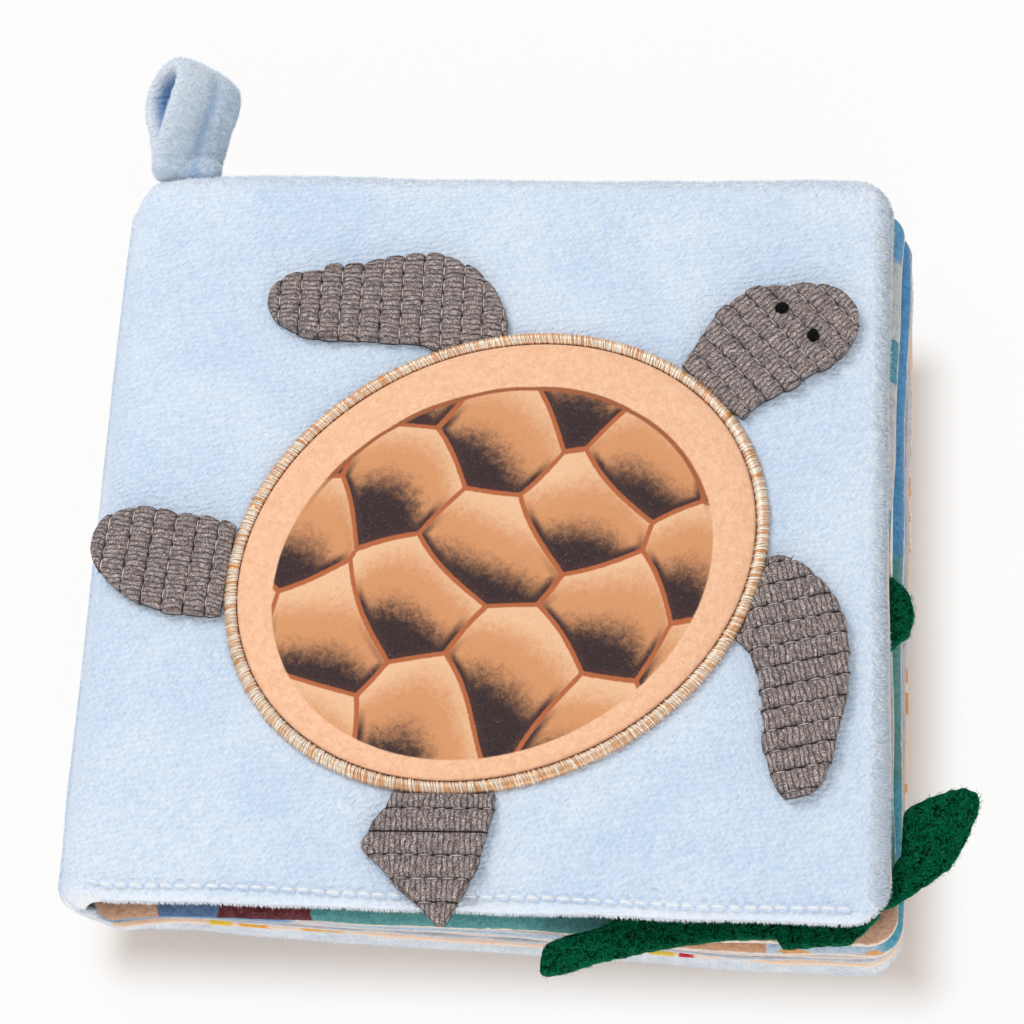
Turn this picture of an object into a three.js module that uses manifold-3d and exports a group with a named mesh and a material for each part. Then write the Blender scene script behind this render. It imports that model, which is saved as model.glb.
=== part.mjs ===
// A crinkle cloth book for a small child, closed and lying on its back cover.
// Four stuffed panels hang on one sewn spine: front cover, two inner leaves and back cover.
// The front cover carries a padded turtle shell with a ribbed head and four ribbed flippers.
// X runs from the spine to the fore-edge, Y from the foot to the head, Z up, in millimetres.

import * as THREE from 'three';
import { mergeVertices } from 'three/addons/utils/BufferGeometryUtils.js';
import Module from 'manifold-3d';

const wasm = await Module();
wasm.setup();

// Clearances

const SEAT_GAP = 0.3;
const SIDE_GAP = 1.0;
const CUT_OVERRUN = 5;

// Front cover

const COVER_WIDTH = 150;
const COVER_HEIGHT = 150;
const COVER_THICKNESS = 7;
const COVER_CORNER = 7;
const COVER_EDGE_ROUND = 5;
const COVER_SEAM_RISE = 1.6;
const COVER_CROWN = 0.6;
const COVER_CROWN_REACH = 14;
const PLUSH_THICKNESS = 2;
const LINING_THICKNESS = 1;

// Back cover, which is a little wider and thicker than the front one

const BACK_OVERHANG = 4.8;
const BACK_THICKNESS = 8.5;
const BACK_FOOT_OVERHANG = 1.5;

// Inner leaves

const LEAF_THICKNESS = 6.6;
const LEAF_CORNER = 6;
const LEAF_EDGE_ROUND = 3.2;
const LEAF_CROWN = 0.4;
const LEAF_CROWN_REACH = 9;
const LEAF_CLOTH = 1;
const LEAF_OVERHANG = 3.5;
const LEAF_SKEW = 3;
const LEAF_FOOT_MARGIN = 0.4;

// Filling of the panels

const FILM_THICKNESS = 0.4;
const EDGE_DRAW_IN = 0.7;

// Spine and hinge line

const SPINE_BULGE = 3.3;
const SPINE_CREASE = 3.5;
const SPINE_END_MARGIN = 0.8;
const SPINE_ROUND = 6;
const BINDING_RADIUS = 3;
const BINDING_END_MARGIN = 3;

// Turtle shell, an oval set aslant on the cover

const SHELL_LENGTH = 104;
const SHELL_WIDTH = 86.4;
const SHELL_SHIFT_X = 1.2;
const SHELL_SHIFT_Y = -5.9;
const SHELL_SLANT_DEG = 30.2;
const SHELL_PADDING = 2.8;
const SHELL_CLOTH = 0.8;
const SHELL_EDGE_PADDING = 0.7;
const BORDER_WIDTH = 3.2;
const BORDER_HEIGHT = 2.5;

// Ribbed flaps, which are the head and the flippers

const FLAP_CROWN = 2.4;
const FLAP_VALLEY = 1.3;
const FRONT_LEFT_LENGTH = 22;
const FRONT_LEFT_WIDTH = 45;
const FRONT_LEFT_RIB = 4;
const HEAD_LENGTH = 32.3;
const HEAD_WIDTH = 23;
const HEAD_RIB = 3.9;
const HEAD_TURN_SHARE = 0.038;
const REAR_LEFT_LENGTH = 25.5;
const REAR_LEFT_WIDTH = 20.3;
const REAR_LEFT_RIB = 4.2;
const FRONT_RIGHT_LENGTH = 23;
const FRONT_RIGHT_WIDTH = 44;
const FRONT_RIGHT_RIB = 4;
const REAR_RIGHT_LENGTH = 24;
const REAR_RIGHT_WIDTH = 24.5;
const REAR_RIGHT_RIB = 4.4;
const EYE_DIAMETER = 2.6;
const EYE_HEIGHT = 1.4;
const EYE_SPACING = 8.3;
const EYE_SETBACK = 11.6;
const EYE_SHIFT = 2.2;

// Felt seaweed leaves sewn to the first inner leaf

const FELT_THICKNESS = 2.6;
const SIDE_LEAF_LENGTH = 25;
const SIDE_LEAF_WIDTH = 14.8;
const SIDE_LEAF_OVERHANG = 4.8;
const SIDE_LEAF_BELOW_MIDDLE = 12;
const CORNER_LEAF_LENGTH = 36.7;
const CORNER_LEAF_WIDTH = 30.7;
const CORNER_LEAF_OVERHANG = 16.7;
const CORNER_LEAF_FOOT_OVERHANG = 2.1;
const FOOT_LEAF_LENGTH = 40;
const FOOT_LEAF_WIDTH = 15.5;
const FOOT_LEAF_SPACING = 2.4;
const FOOT_LEAF_OVERHANG = 8.5;

// Hanging loop in the top seam

const LOOP_BAND_WIDTH = 13;
const LOOP_BAND_THICKNESS = 4.4;
const LOOP_LENGTH = 23;
const LOOP_OPENING = 8.2;
const LOOP_ROOT_TURN_DEG = 30;
const LOOP_TURN_DEG = 38;
const LOOP_FROM_SPINE = 8.7;
const LOOP_DROP = 3.5;
const LOOP_ROOT_RADIUS = 2.5;
const SHORTEST_EDGE = 0.06;

// Colours

const PLUSH_BLUE = 0xd2e3f6;
const PLUSH_BACK = 0xc9d8ea;
const KNIT_GREY = 0x8b7a7a;
const SHELL_TAN = 0xd9996e;
const BORDER_GOLD = 0xebbe78;
const FELT_GREEN = 0x06452b;
const PAGE_TEAL = 0x619298;
const PAGE_BLUE = 0x8fbbe0;
const PAGE_MAROON = 0x8a4a50;
const LINING_PEACH = 0xf5d2b9;
const THREAD_BLACK = 0x161214;
const WADDING_WHITE = 0xf2f0ea;
const FILM_CLEAR = 0xdfe6ea;

// Places that follow from the sizes above, from the table up

const coverRight = COVER_WIDTH / 2;
const coverTop = COVER_HEIGHT / 2;
const panelLeft = SPINE_CREASE - COVER_WIDTH / 2;
const leaf2Bottom = BACK_THICKNESS + SEAT_GAP;
const leaf1Bottom = leaf2Bottom + LEAF_THICKNESS + SEAT_GAP;
const feltBottom = leaf1Bottom + LEAF_THICKNESS + SEAT_GAP;
const coverBottom = feltBottom + FELT_THICKNESS + SEAT_GAP;
const coverSurface = coverBottom + COVER_THICKNESS;
const hingeHeight = leaf1Bottom - SEAT_GAP / 2;
const hingeX = panelLeft - SPINE_CREASE / 2 + SEAT_GAP;

// A closed geometry from flat lists of corners and triangles, turned so that its faces point out

function closedGeometry(corners, triangles) {
  let volume = 0;
  for (let i = 0; i < triangles.length; i += 3) {
    const [a, b, c] = [0, 1, 2].map((k) => corners[triangles[i + k]]);
    volume += a.dot(new THREE.Vector3().crossVectors(b, c));
  }
  const order = volume < 0 ? triangles.slice().reverse() : triangles;
  const geometry = new THREE.BufferGeometry();
  const flat = corners.flatMap((p) => [p.x, p.y, p.z]);
  geometry.setAttribute('position', new THREE.Float32BufferAttribute(flat, 3));
  geometry.setIndex(order);
  return geometry;
}

// A solid skinned over stacked rings of equally many points, each end closed by a fan

function skin(rings) {
  const count = rings[0].length;
  const corners = rings.flat();
  const triangles = [];
  for (let r = 0; r + 1 < rings.length; r += 1) {
    for (let i = 0; i < count; i += 1) {
      const a = r * count + i;
      const b = r * count + (i + 1) % count;
      triangles.push(a, b, b + count, a, b + count, a + count);
    }
  }
  for (const [ring, flip] of [[0, true], [rings.length - 1, false]]) {
    const middle = new THREE.Vector3();
    rings[ring].forEach((p) => middle.addScaledVector(p, 1 / count));
    corners.push(middle);
    for (let i = 0; i < count; i += 1) {
      const a = ring * count + i;
      const b = ring * count + (i + 1) % count;
      triangles.push(...(flip ? [b, a] : [a, b]), corners.length - 1);
    }
  }
  return closedGeometry(corners, triangles);
}

// Solids that are cut or joined

function toSolid(geometry) {
  const bare = geometry.clone();
  bare.deleteAttribute('normal');
  bare.deleteAttribute('uv');
  const merged = mergeVertices(bare, SEAT_GAP / 1000);
  return new wasm.Manifold(new wasm.Mesh({
    numProp: 3,
    vertProperties: new Float32Array(merged.attributes.position.array),
    triVerts: new Uint32Array(merged.index.array),
  }));
}

function fromSolid(solid) {
  const mesh = solid.getMesh();
  const geometry = new THREE.BufferGeometry();
  const places = new Float32Array(mesh.numVert * 3);
  for (let i = 0; i < mesh.numVert; i += 1) {
    for (let k = 0; k < 3; k += 1) places[3 * i + k] = mesh.vertProperties[mesh.numProp * i + k];
  }
  geometry.setAttribute('position', new THREE.BufferAttribute(places, 3));
  geometry.setIndex(Array.from(mesh.triVerts));
  return geometry;
}

// The outline of a panel, drawn in by some inset, with round corners and slightly hollow sides

const CORNER_STEPS = 4;
const SIDE_STEPS = 4;

function panelRing(panel, inset, z) {
  const { left, right, foot, head, skew, corner, leftShare } = panel;
  const low = foot + inset;
  const high = head - inset;
  const near = left + inset * leftShare;
  const far = right - inset;
  const places = [[near, low], [far - skew, low], [far, high], [near, high]];
  const nodes = places.map(([x, y]) => new THREE.Vector2(x, y));
  const ring = [];
  for (let i = 0; i < nodes.length; i += 1) {
    const here = nodes[i];
    const next = nodes[(i + 1) % nodes.length];
    const last = nodes[(i + nodes.length - 1) % nodes.length];
    const back = last.clone().sub(here).normalize();
    const ahead = next.clone().sub(here).normalize();
    const beside = i === 0 || i === 3;
    const radius = Math.max(corner * (beside ? leftShare : 1) - inset / 2, corner / 4);
    for (let s = 0; s <= CORNER_STEPS; s += 1) {
      const turn = (s / CORNER_STEPS) * Math.PI / 2;
      const point = here.clone();
      point.addScaledVector(ahead, radius * (1 - Math.cos(turn)));
      point.addScaledVector(back, radius * (1 - Math.sin(turn)));
      ring.push(new THREE.Vector3(point.x, point.y, z));
    }
    const drawn = new THREE.Vector2(-ahead.y, ahead.x).multiplyScalar(EDGE_DRAW_IN);
    const straight = i === 3 ? 0 : 1;
    for (let s = 1; s < SIDE_STEPS; s += 1) {
      const share = s / SIDE_STEPS;
      const point = here.clone().lerp(next, share);
      point.addScaledVector(drawn, straight * 4 * share * (1 - share));
      ring.push(new THREE.Vector3(point.x, point.y, z));
    }
  }
  return ring;
}

// The round shoulder of a pillow, as inset and rise above its seam, outermost first

function shoulder(round, rise, steps, from) {
  const stations = [];
  for (let s = 0; s <= steps; s += 1) {
    const turn = (s / steps) * Math.PI / 2;
    stations.push([from + round * (1 - Math.cos(turn)), rise * Math.sin(turn)]);
  }
  return stations;
}

// One cloth of a pillow: dished, with its rim at the seam and its crown toward side, +1 up or -1 down

function cloth(panel, side, seam, rise, thickness, crown) {
  const outside = shoulder(panel.round, rise - crown, 3, 0);
  outside.push([panel.crownReach, rise]);
  const inside = shoulder(panel.round, rise - thickness - crown, 2, thickness);
  inside.push([panel.crownReach + thickness, rise - thickness]);
  const stations = [...outside.reverse(), ...inside];
  return skin(stations.map(([inset, height]) => panelRing(panel, inset, seam + side * height)));
}

// The wadding between two cloths, flat on the crinkle film and round on its other side

function wadding(panel, side, seam, from, rise, thickness) {
  const edge = thickness + SIDE_GAP;
  const top = shoulder(panel.round, rise - panel.crown, 2, edge).slice(1);
  top.push([panel.crownReach + edge, rise]);
  const stations = [[edge + panel.round, from]];
  top.forEach(([inset, height]) => stations.push([inset, height - SEAT_GAP]));
  return skin(stations.map(([inset, height]) => panelRing(panel, inset, seam + side * height)));
}

// The crinkle film, a thin flat sheet as wide as the flat of the panel

function film(panel, side, seam, from, thickness) {
  const inset = panel.crownReach + thickness + SIDE_GAP;
  const rings = [from, from + FILM_THICKNESS];
  return skin(rings.map((height) => panelRing(panel, inset, seam + side * height)));
}

// The model as a scene graph, one mesh for each piece

const book = new THREE.Group();

function add(name, geometry, color, roughness) {
  const material = new THREE.MeshStandardMaterial({ color, roughness, metalness: 0 });
  const mesh = new THREE.Mesh(geometry, material);
  mesh.name = name;
  book.add(mesh);
  return mesh;
}

// A stuffed panel: outer cloth, wadding, crinkle film and inner cloth, each its own piece

function addPanel(panel) {
  const { side, seam, outerRise, innerRise, outerCloth, innerCloth } = panel;
  const filmStart = SEAT_GAP + innerCloth - innerRise;
  const waddingStart = filmStart + FILM_THICKNESS + SEAT_GAP;
  const [outerName, waddingName, filmName, innerName] = panel.names;
  const innerSeam = seam - side * SEAT_GAP;
  const outer = cloth(panel, side, seam, outerRise, outerCloth, panel.crown);
  const inner = cloth(panel, -side, innerSeam, innerRise - SEAT_GAP, innerCloth, panel.innerCrown);
  const filling = wadding(panel, side, seam, waddingStart, outerRise - outerCloth, outerCloth);
  const sheet = film(panel, side, seam, filmStart, outerCloth);
  add(outerName, outer, panel.outerColor, 0.95);
  add(waddingName, filling, WADDING_WHITE, 0.9);
  add(filmName, sheet, FILM_CLEAR, 0.3);
  add(innerName, inner, panel.innerColor, 0.9);
}

const coverShape = {
  left: panelLeft,
  right: coverRight,
  foot: -coverTop,
  head: coverTop,
  skew: 0,
  corner: COVER_CORNER,
  leftShare: 0.35,
  round: COVER_EDGE_ROUND,
  crown: COVER_CROWN,
  innerCrown: 0,
  crownReach: COVER_CROWN_REACH,
  outerCloth: PLUSH_THICKNESS,
  innerCloth: LINING_THICKNESS,
  innerRise: COVER_SEAM_RISE,
};

const leafShape = {
  left: hingeX + BINDING_RADIUS - SEAT_GAP,
  right: coverRight + LEAF_OVERHANG,
  foot: LEAF_FOOT_MARGIN - coverTop,
  head: coverTop,
  skew: 0,
  corner: LEAF_CORNER,
  leftShare: 1,
  round: LEAF_EDGE_ROUND,
  crown: LEAF_CROWN,
  innerCrown: LEAF_CROWN,
  crownReach: LEAF_CROWN_REACH,
  outerCloth: LEAF_CLOTH,
  innerCloth: LEAF_CLOTH,
  innerRise: LEAF_THICKNESS / 2,
  outerRise: LEAF_THICKNESS / 2,
  side: 1,
};

// Back cover, its plush below and its lining above

addPanel({
  ...coverShape,
  names: ['back_cover_outer', 'back_cover_wadding', 'back_cover_film', 'back_cover_lining'],
  right: coverRight + BACK_OVERHANG,
  foot: -coverTop - BACK_FOOT_OVERHANG,
  side: -1,
  seam: BACK_THICKNESS - COVER_SEAM_RISE,
  outerRise: BACK_THICKNESS - COVER_SEAM_RISE,
  outerColor: PLUSH_BACK,
  innerColor: LINING_PEACH,
});

// Inner leaves, the upper one a little askew as it lies in the book

addPanel({
  ...leafShape,
  names: ['leaf_2_front', 'leaf_2_wadding', 'leaf_2_film', 'leaf_2_back'],
  seam: leaf2Bottom + LEAF_THICKNESS / 2,
  outerColor: PAGE_BLUE,
  innerColor: PAGE_MAROON,
});

addPanel({
  ...leafShape,
  names: ['leaf_1_front', 'leaf_1_wadding', 'leaf_1_film', 'leaf_1_back'],
  skew: LEAF_SKEW,
  seam: leaf1Bottom + LEAF_THICKNESS / 2,
  outerColor: PAGE_TEAL,
  innerColor: PAGE_BLUE,
});

// Front cover, its plush above and its lining below

addPanel({
  ...coverShape,
  names: ['front_cover_outer', 'front_cover_wadding', 'front_cover_film', 'front_cover_lining'],
  side: 1,
  seam: coverBottom + COVER_SEAM_RISE,
  outerRise: COVER_THICKNESS - COVER_SEAM_RISE,
  outerColor: PLUSH_BLUE,
  innerColor: LINING_PEACH,
});

// An outline swept straight up along Z

function plate(outline, depth) {
  return new THREE.ExtrudeGeometry(new THREE.Shape(outline), { depth, bevelEnabled: false });
}

// Spine plush, bulging out between the covers, drawn as a section across the book

{
  const right = panelLeft - SEAT_GAP;
  const out = -coverRight - SPINE_BULGE;
  const section = (offset) => {
    const top = coverSurface - COVER_CROWN - offset;
    const low = COVER_CROWN + offset;
    const side = -coverRight + offset;
    const shoulderX = (right + side) / 2;
    const flankX = side - SPINE_BULGE / 3;
    const curve = new THREE.CatmullRomCurve3([
      new THREE.Vector3(right, top, 0),
      new THREE.Vector3(shoulderX, top - SPINE_ROUND / 12, 0),
      new THREE.Vector3(flankX, top - SPINE_ROUND, 0),
      new THREE.Vector3(out + offset, (top + low) / 2, 0),
      new THREE.Vector3(flankX, low + SPINE_ROUND, 0),
      new THREE.Vector3(shoulderX, low + SPINE_ROUND / 12, 0),
      new THREE.Vector3(right, low, 0),
    ]);
    return curve.getPoints(18).map((p) => new THREE.Vector2(Math.min(p.x, right), p.y));
  };
  const outline = [...section(0), ...section(PLUSH_THICKNESS).reverse()];
  const length = COVER_HEIGHT - 2 * SPINE_END_MARGIN;
  const sheet = plate(outline, length);
  sheet.rotateX(Math.PI / 2);
  sheet.translate(0, length / 2, 0);
  add('spine_outer', sheet, PLUSH_BLUE, 0.95);
}

// Binding fold, the sewn edge of the inner leaves on the hinge line

{
  const length = COVER_HEIGHT - 2 * BINDING_END_MARGIN;
  const fold = new THREE.CylinderGeometry(BINDING_RADIUS, BINDING_RADIUS, length, 16);
  add('binding_fold', fold, LINING_PEACH, 0.9).position.set(hingeX, 0, hingeHeight);
}

// The shell's oval, moved out by some offset, and the direction that faces out there

const shellSlant = THREE.MathUtils.degToRad(SHELL_SLANT_DEG);
const shellMiddle = new THREE.Vector2(SHELL_SHIFT_X, SHELL_SHIFT_Y);

function shellPoint(turnShare, offset) {
  const turn = turnShare * 2 * Math.PI;
  const [half, wide] = [SHELL_LENGTH / 2, SHELL_WIDTH / 2];
  const out = new THREE.Vector2(Math.cos(turn) / half, Math.sin(turn) / wide).normalize();
  const point = new THREE.Vector2(half * Math.cos(turn), wide * Math.sin(turn));
  point.addScaledVector(out, offset).rotateAround(new THREE.Vector2(), shellSlant);
  out.rotateAround(new THREE.Vector2(), shellSlant);
  return { point: point.add(shellMiddle), out };
}

const SHELL_STEPS = 40;

function shellRing(offset, z) {
  const ring = [];
  for (let i = 0; i < SHELL_STEPS; i += 1) {
    const { point } = shellPoint(i / SHELL_STEPS, offset);
    ring.push(new THREE.Vector3(point.x, point.y, z));
  }
  return ring;
}

// Shell padding and the printed cloth over it, a low dome inside the border

{
  const base = coverSurface + SEAT_GAP;
  const inner = -BORDER_WIDTH / 2 - SEAT_GAP;
  const crown = SHELL_PADDING - SHELL_EDGE_PADDING;
  const spread = SHELL_WIDTH / 2;
  const domeShares = [[0, 0.35], [0.12, 0.66], [0.35, 0.92], [0.65, 1]];
  const dome = (edge, low) => domeShares.map(([inShare, upShare]) => (
    shellRing(edge - inShare * spread, low + upShare * crown)
  ));
  const pad = dome(inner - SIDE_GAP, base + SHELL_EDGE_PADDING - SEAT_GAP);
  add('shell_padding', skin([shellRing(inner - SIDE_GAP, base), ...pad]), WADDING_WHITE, 0.9);
  const under = dome(inner - SIDE_GAP, base + SHELL_EDGE_PADDING);
  const rim = shellRing(inner - SIDE_GAP / 2, base + SHELL_CLOTH / 4);
  const edge = shellRing(inner, base + SHELL_CLOTH / 4);
  const over = dome(inner, base + SHELL_EDGE_PADDING + SHELL_CLOTH);
  add('shell_patch', skin([...under.reverse(), rim, edge, ...over]), SHELL_TAN, 0.9);
}

// Satin-stitched border, a low round cord along the oval

{
  const base = coverSurface + SEAT_GAP;
  const sectionShares = [[0.5, 0], [0.5, 0.55], [0.3, 0.9], [0, 1], [-0.3, 0.9], [-0.5, 0.55], [-0.5, 0]];
  const rings = sectionShares.map(([outShare, upShare]) => (
    shellRing(outShare * BORDER_WIDTH, base + upShare * BORDER_HEIGHT)
  ));
  const corners = rings.flat();
  const triangles = [];
  for (let r = 0; r < rings.length; r += 1) {
    for (let i = 0; i < SHELL_STEPS; i += 1) {
      const over = (i + 1) % SHELL_STEPS;
      const up = ((r + 1) % rings.length) * SHELL_STEPS;
      const [a, b] = [r * SHELL_STEPS + i, r * SHELL_STEPS + over];
      triangles.push(a, b, up + over, a, up + over, up + i);
    }
  }
  add('shell_border', closedGeometry(corners, triangles), BORDER_GOLD, 0.35);
}

// A ribbed flap in its own frame: X out from the shell, Y along its sewn root, Z up from the cover

function ribbedFlap(flap) {
  const { length, width, rib, ribTurnDeg, outlineShares } = flap;
  const outline = outlineShares.map(([out, along]) => (
    new THREE.Vector2(out * length, along * width)
  ));
  const blank = plate(outline, FLAP_CROWN + CUT_OVERRUN);
  const ribs = 2 * Math.ceil((length + width) / rib / 2) + 1;
  const top = [];
  const archSteps = 4;
  for (let i = 0; i < ribs; i += 1) {
    for (let s = 0; s < archSteps; s += 1) {
      const share = s / archSteps;
      const across = (i + share - ribs / 2) * rib;
      const height = FLAP_VALLEY + (FLAP_CROWN - FLAP_VALLEY) * Math.sqrt(Math.sin(Math.PI * share));
      top.push(new THREE.Vector2(across, height));
    }
  }
  const half = (ribs / 2) * rib;
  top.push(new THREE.Vector2(half, FLAP_VALLEY));
  const section = [new THREE.Vector2(half, 0), new THREE.Vector2(-half, 0), ...top].reverse();
  const ridges = plate(section, 2 * (length + width));
  ridges.translate(0, 0, -length - width);
  ridges.rotateX(Math.PI / 2);
  ridges.rotateZ(THREE.MathUtils.degToRad(ribTurnDeg) - Math.PI / 2);
  return fromSolid(toSolid(blank).intersect(toSolid(ridges)));
}

// Where a flap is sewn in at the shell's border, as a share of a turn round the oval

function seatFlap(mesh, turnShare) {
  const { point, out } = shellPoint(turnShare, BORDER_WIDTH / 2 + SEAT_GAP);
  mesh.position.set(point.x, point.y, coverSurface + SEAT_GAP);
  mesh.rotation.z = Math.atan2(out.y, out.x);
  return mesh;
}

const flaps = [
  {
    name: 'front_left_flipper',
    turnShare: 0.2,
    length: FRONT_LEFT_LENGTH,
    width: FRONT_LEFT_WIDTH,
    rib: FRONT_LEFT_RIB,
    ribTurnDeg: -15,
    outlineShares: [
      [0, -0.16], [0.09, -0.17], [0.3, -0.16], [0.48, -0.13], [0.67, -0.06], [0.81, 0.01],
      [0.87, 0.07], [0.91, 0.2], [0.94, 0.29], [0.92, 0.4], [0.96, 0.49], [0.97, 0.58],
      [1, 0.7], [0.95, 0.77], [0.82, 0.83], [0.68, 0.83], [0.54, 0.8], [0.4, 0.73],
      [0.27, 0.56], [0.16, 0.38], [0.05, 0.22], [0, 0.17],
    ],
  },
  {
    name: 'turtle_head',
    turnShare: HEAD_TURN_SHARE,
    length: HEAD_LENGTH,
    width: HEAD_WIDTH,
    rib: HEAD_RIB,
    ribTurnDeg: 86,
    outlineShares: [
      [0, -0.35], [0.22, -0.4], [0.35, -0.46], [0.47, -0.49], [0.58, -0.54], [0.75, -0.55],
      [0.88, -0.49], [0.96, -0.36], [1, -0.21], [0.95, -0.04], [0.88, 0.1], [0.78, 0.21],
      [0.72, 0.31], [0.65, 0.37], [0.54, 0.44], [0.41, 0.45], [0.28, 0.44], [0.13, 0.38],
      [0, 0.33],
    ],
  },
  {
    name: 'rear_left_flipper',
    turnShare: 0.417,
    length: REAR_LEFT_LENGTH,
    width: REAR_LEFT_WIDTH,
    rib: REAR_LEFT_RIB,
    ribTurnDeg: 90,
    outlineShares: [
      [0, -0.43], [0.1, -0.47], [0.28, -0.5], [0.39, -0.49], [0.5, -0.52], [0.65, -0.54],
      [0.8, -0.52], [0.88, -0.46], [0.95, -0.4], [1, -0.22], [1, -0.1], [0.97, 0.02],
      [0.92, 0.12], [0.83, 0.24], [0.66, 0.37], [0.49, 0.45], [0.32, 0.46], [0.16, 0.45],
      [0.04, 0.46], [0, 0.43],
    ],
  },
  {
    name: 'front_right_flipper',
    turnShare: 0.88,
    length: FRONT_RIGHT_LENGTH,
    width: FRONT_RIGHT_WIDTH,
    rib: FRONT_RIGHT_RIB,
    ribTurnDeg: 32,
    outlineShares: [
      [0, -0.2], [0.06, -0.22], [0.17, -0.29], [0.26, -0.38], [0.38, -0.52], [0.53, -0.67],
      [0.63, -0.75], [0.74, -0.79], [0.83, -0.79], [0.92, -0.75], [1, -0.67], [1, -0.58],
      [0.96, -0.45], [0.95, -0.36], [0.94, -0.27], [0.87, -0.14], [0.81, -0.06], [0.7, 0.03],
      [0.59, 0.1], [0.45, 0.15], [0.29, 0.19], [0.17, 0.21], [0.06, 0.21], [0, 0.2],
    ],
  },
  {
    name: 'rear_right_flipper',
    turnShare: 0.656,
    length: REAR_RIGHT_LENGTH,
    width: REAR_RIGHT_WIDTH,
    rib: REAR_RIGHT_RIB,
    ribTurnDeg: 90,
    outlineShares: [
      [0, -0.38], [0.06, -0.41], [0.12, -0.46], [0.23, -0.53], [0.35, -0.6], [0.4, -0.62],
      [0.47, -0.54], [0.58, -0.44], [0.72, -0.29], [0.86, -0.15], [1, 0.01], [0.94, 0.07],
      [0.86, 0.11], [0.74, 0.16], [0.61, 0.22], [0.46, 0.28], [0.25, 0.33], [0.13, 0.37],
      [0, 0.38],
    ],
  },
];

for (const flap of flaps) {
  seatFlap(add(flap.name, ribbedFlap(flap), KNIT_GREY, 0.95), flap.turnShare);
}

// Two knotted eyes on the head, resting on its ribs

{
  const { point, out } = shellPoint(HEAD_TURN_SHARE, BORDER_WIDTH / 2 + SEAT_GAP);
  const across = new THREE.Vector2(-out.y, out.x);
  const middle = point.clone().addScaledVector(out, HEAD_LENGTH - EYE_SETBACK);
  middle.addScaledVector(across, -EYE_SHIFT);
  for (const [name, side] of [['eye_left', 1], ['eye_right', -1]]) {
    const place = middle.clone().addScaledVector(across, side * EYE_SPACING / 2);
    const knot = new THREE.SphereGeometry(EYE_DIAMETER / 2, 10, 6);
    knot.rotateX(Math.PI / 2);
    knot.scale(1, 1, EYE_HEIGHT / EYE_DIAMETER);
    const height = coverSurface + 2 * SEAT_GAP + FLAP_CROWN + EYE_HEIGHT / 2;
    add(name, knot, THREAD_BLACK, 0.5).position.set(place.x, place.y, height);
  }
}

// Felt leaves, cut to waved outlines in shares of their length along X and their width along Y

const cornerLeafX = coverRight + CORNER_LEAF_OVERHANG - CORNER_LEAF_LENGTH;

const feltLeaves = [
  {
    name: 'seaweed_side',
    length: SIDE_LEAF_LENGTH,
    width: SIDE_LEAF_WIDTH,
    x: coverRight + SIDE_LEAF_OVERHANG - SIDE_LEAF_LENGTH,
    y: -SIDE_LEAF_BELOW_MIDDLE - SIDE_LEAF_WIDTH / 2,
    outlineShares: [
      [0.45, 0.05], [0.81, 0], [0.96, 0.2], [1, 0.46], [0.98, 0.66], [0.94, 0.81],
      [0.86, 0.94], [0.78, 1], [0.45, 0.9], [0.09, 0.7], [0, 0.5], [0.09, 0.26],
    ],
  },
  {
    name: 'seaweed_corner',
    length: CORNER_LEAF_LENGTH,
    width: CORNER_LEAF_WIDTH,
    x: cornerLeafX,
    y: -coverTop - CORNER_LEAF_FOOT_OVERHANG,
    outlineShares: [
      [0.04, 0], [0.19, 0.02], [0.37, 0.04], [0.47, 0.16], [0.52, 0.25], [0.62, 0.31],
      [0.74, 0.41], [0.86, 0.52], [0.93, 0.67], [0.99, 0.85], [1, 0.93], [0.98, 0.98],
      [0.92, 1], [0.84, 0.98], [0.74, 0.93], [0.65, 0.88], [0.63, 0.84], [0.62, 0.59],
      [0.56, 0.48], [0.41, 0.41], [0.19, 0.33], [0.03, 0.2], [0, 0.07],
    ],
  },
  {
    name: 'seaweed_foot',
    length: FOOT_LEAF_LENGTH,
    width: FOOT_LEAF_WIDTH,
    x: cornerLeafX - FOOT_LEAF_SPACING - FOOT_LEAF_LENGTH,
    y: -coverTop - FOOT_LEAF_OVERHANG,
    outlineShares: [
      [0.03, 0], [0.12, 0.05], [0.24, 0.17], [0.45, 0.31], [0.66, 0.43], [0.82, 0.51],
      [0.97, 0.54], [1, 0.71], [0.91, 0.94], [0.68, 1], [0.43, 0.87], [0.3, 0.63],
      [0.25, 0.57], [0.1, 0.46], [0.02, 0.37], [0, 0.2], [0, 0.03],
    ],
  },
];

for (const leaf of feltLeaves) {
  const outline = leaf.outlineShares.map(([along, across]) => (
    new THREE.Vector2(along * leaf.length, across * leaf.width)
  ));
  const mesh = add(leaf.name, plate(outline, FELT_THICKNESS), FELT_GREEN, 0.95);
  mesh.position.set(leaf.x, leaf.y, feltBottom);
}

// Hanging loop: a flat band that leaves its root roll, turns aslant and comes back

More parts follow.
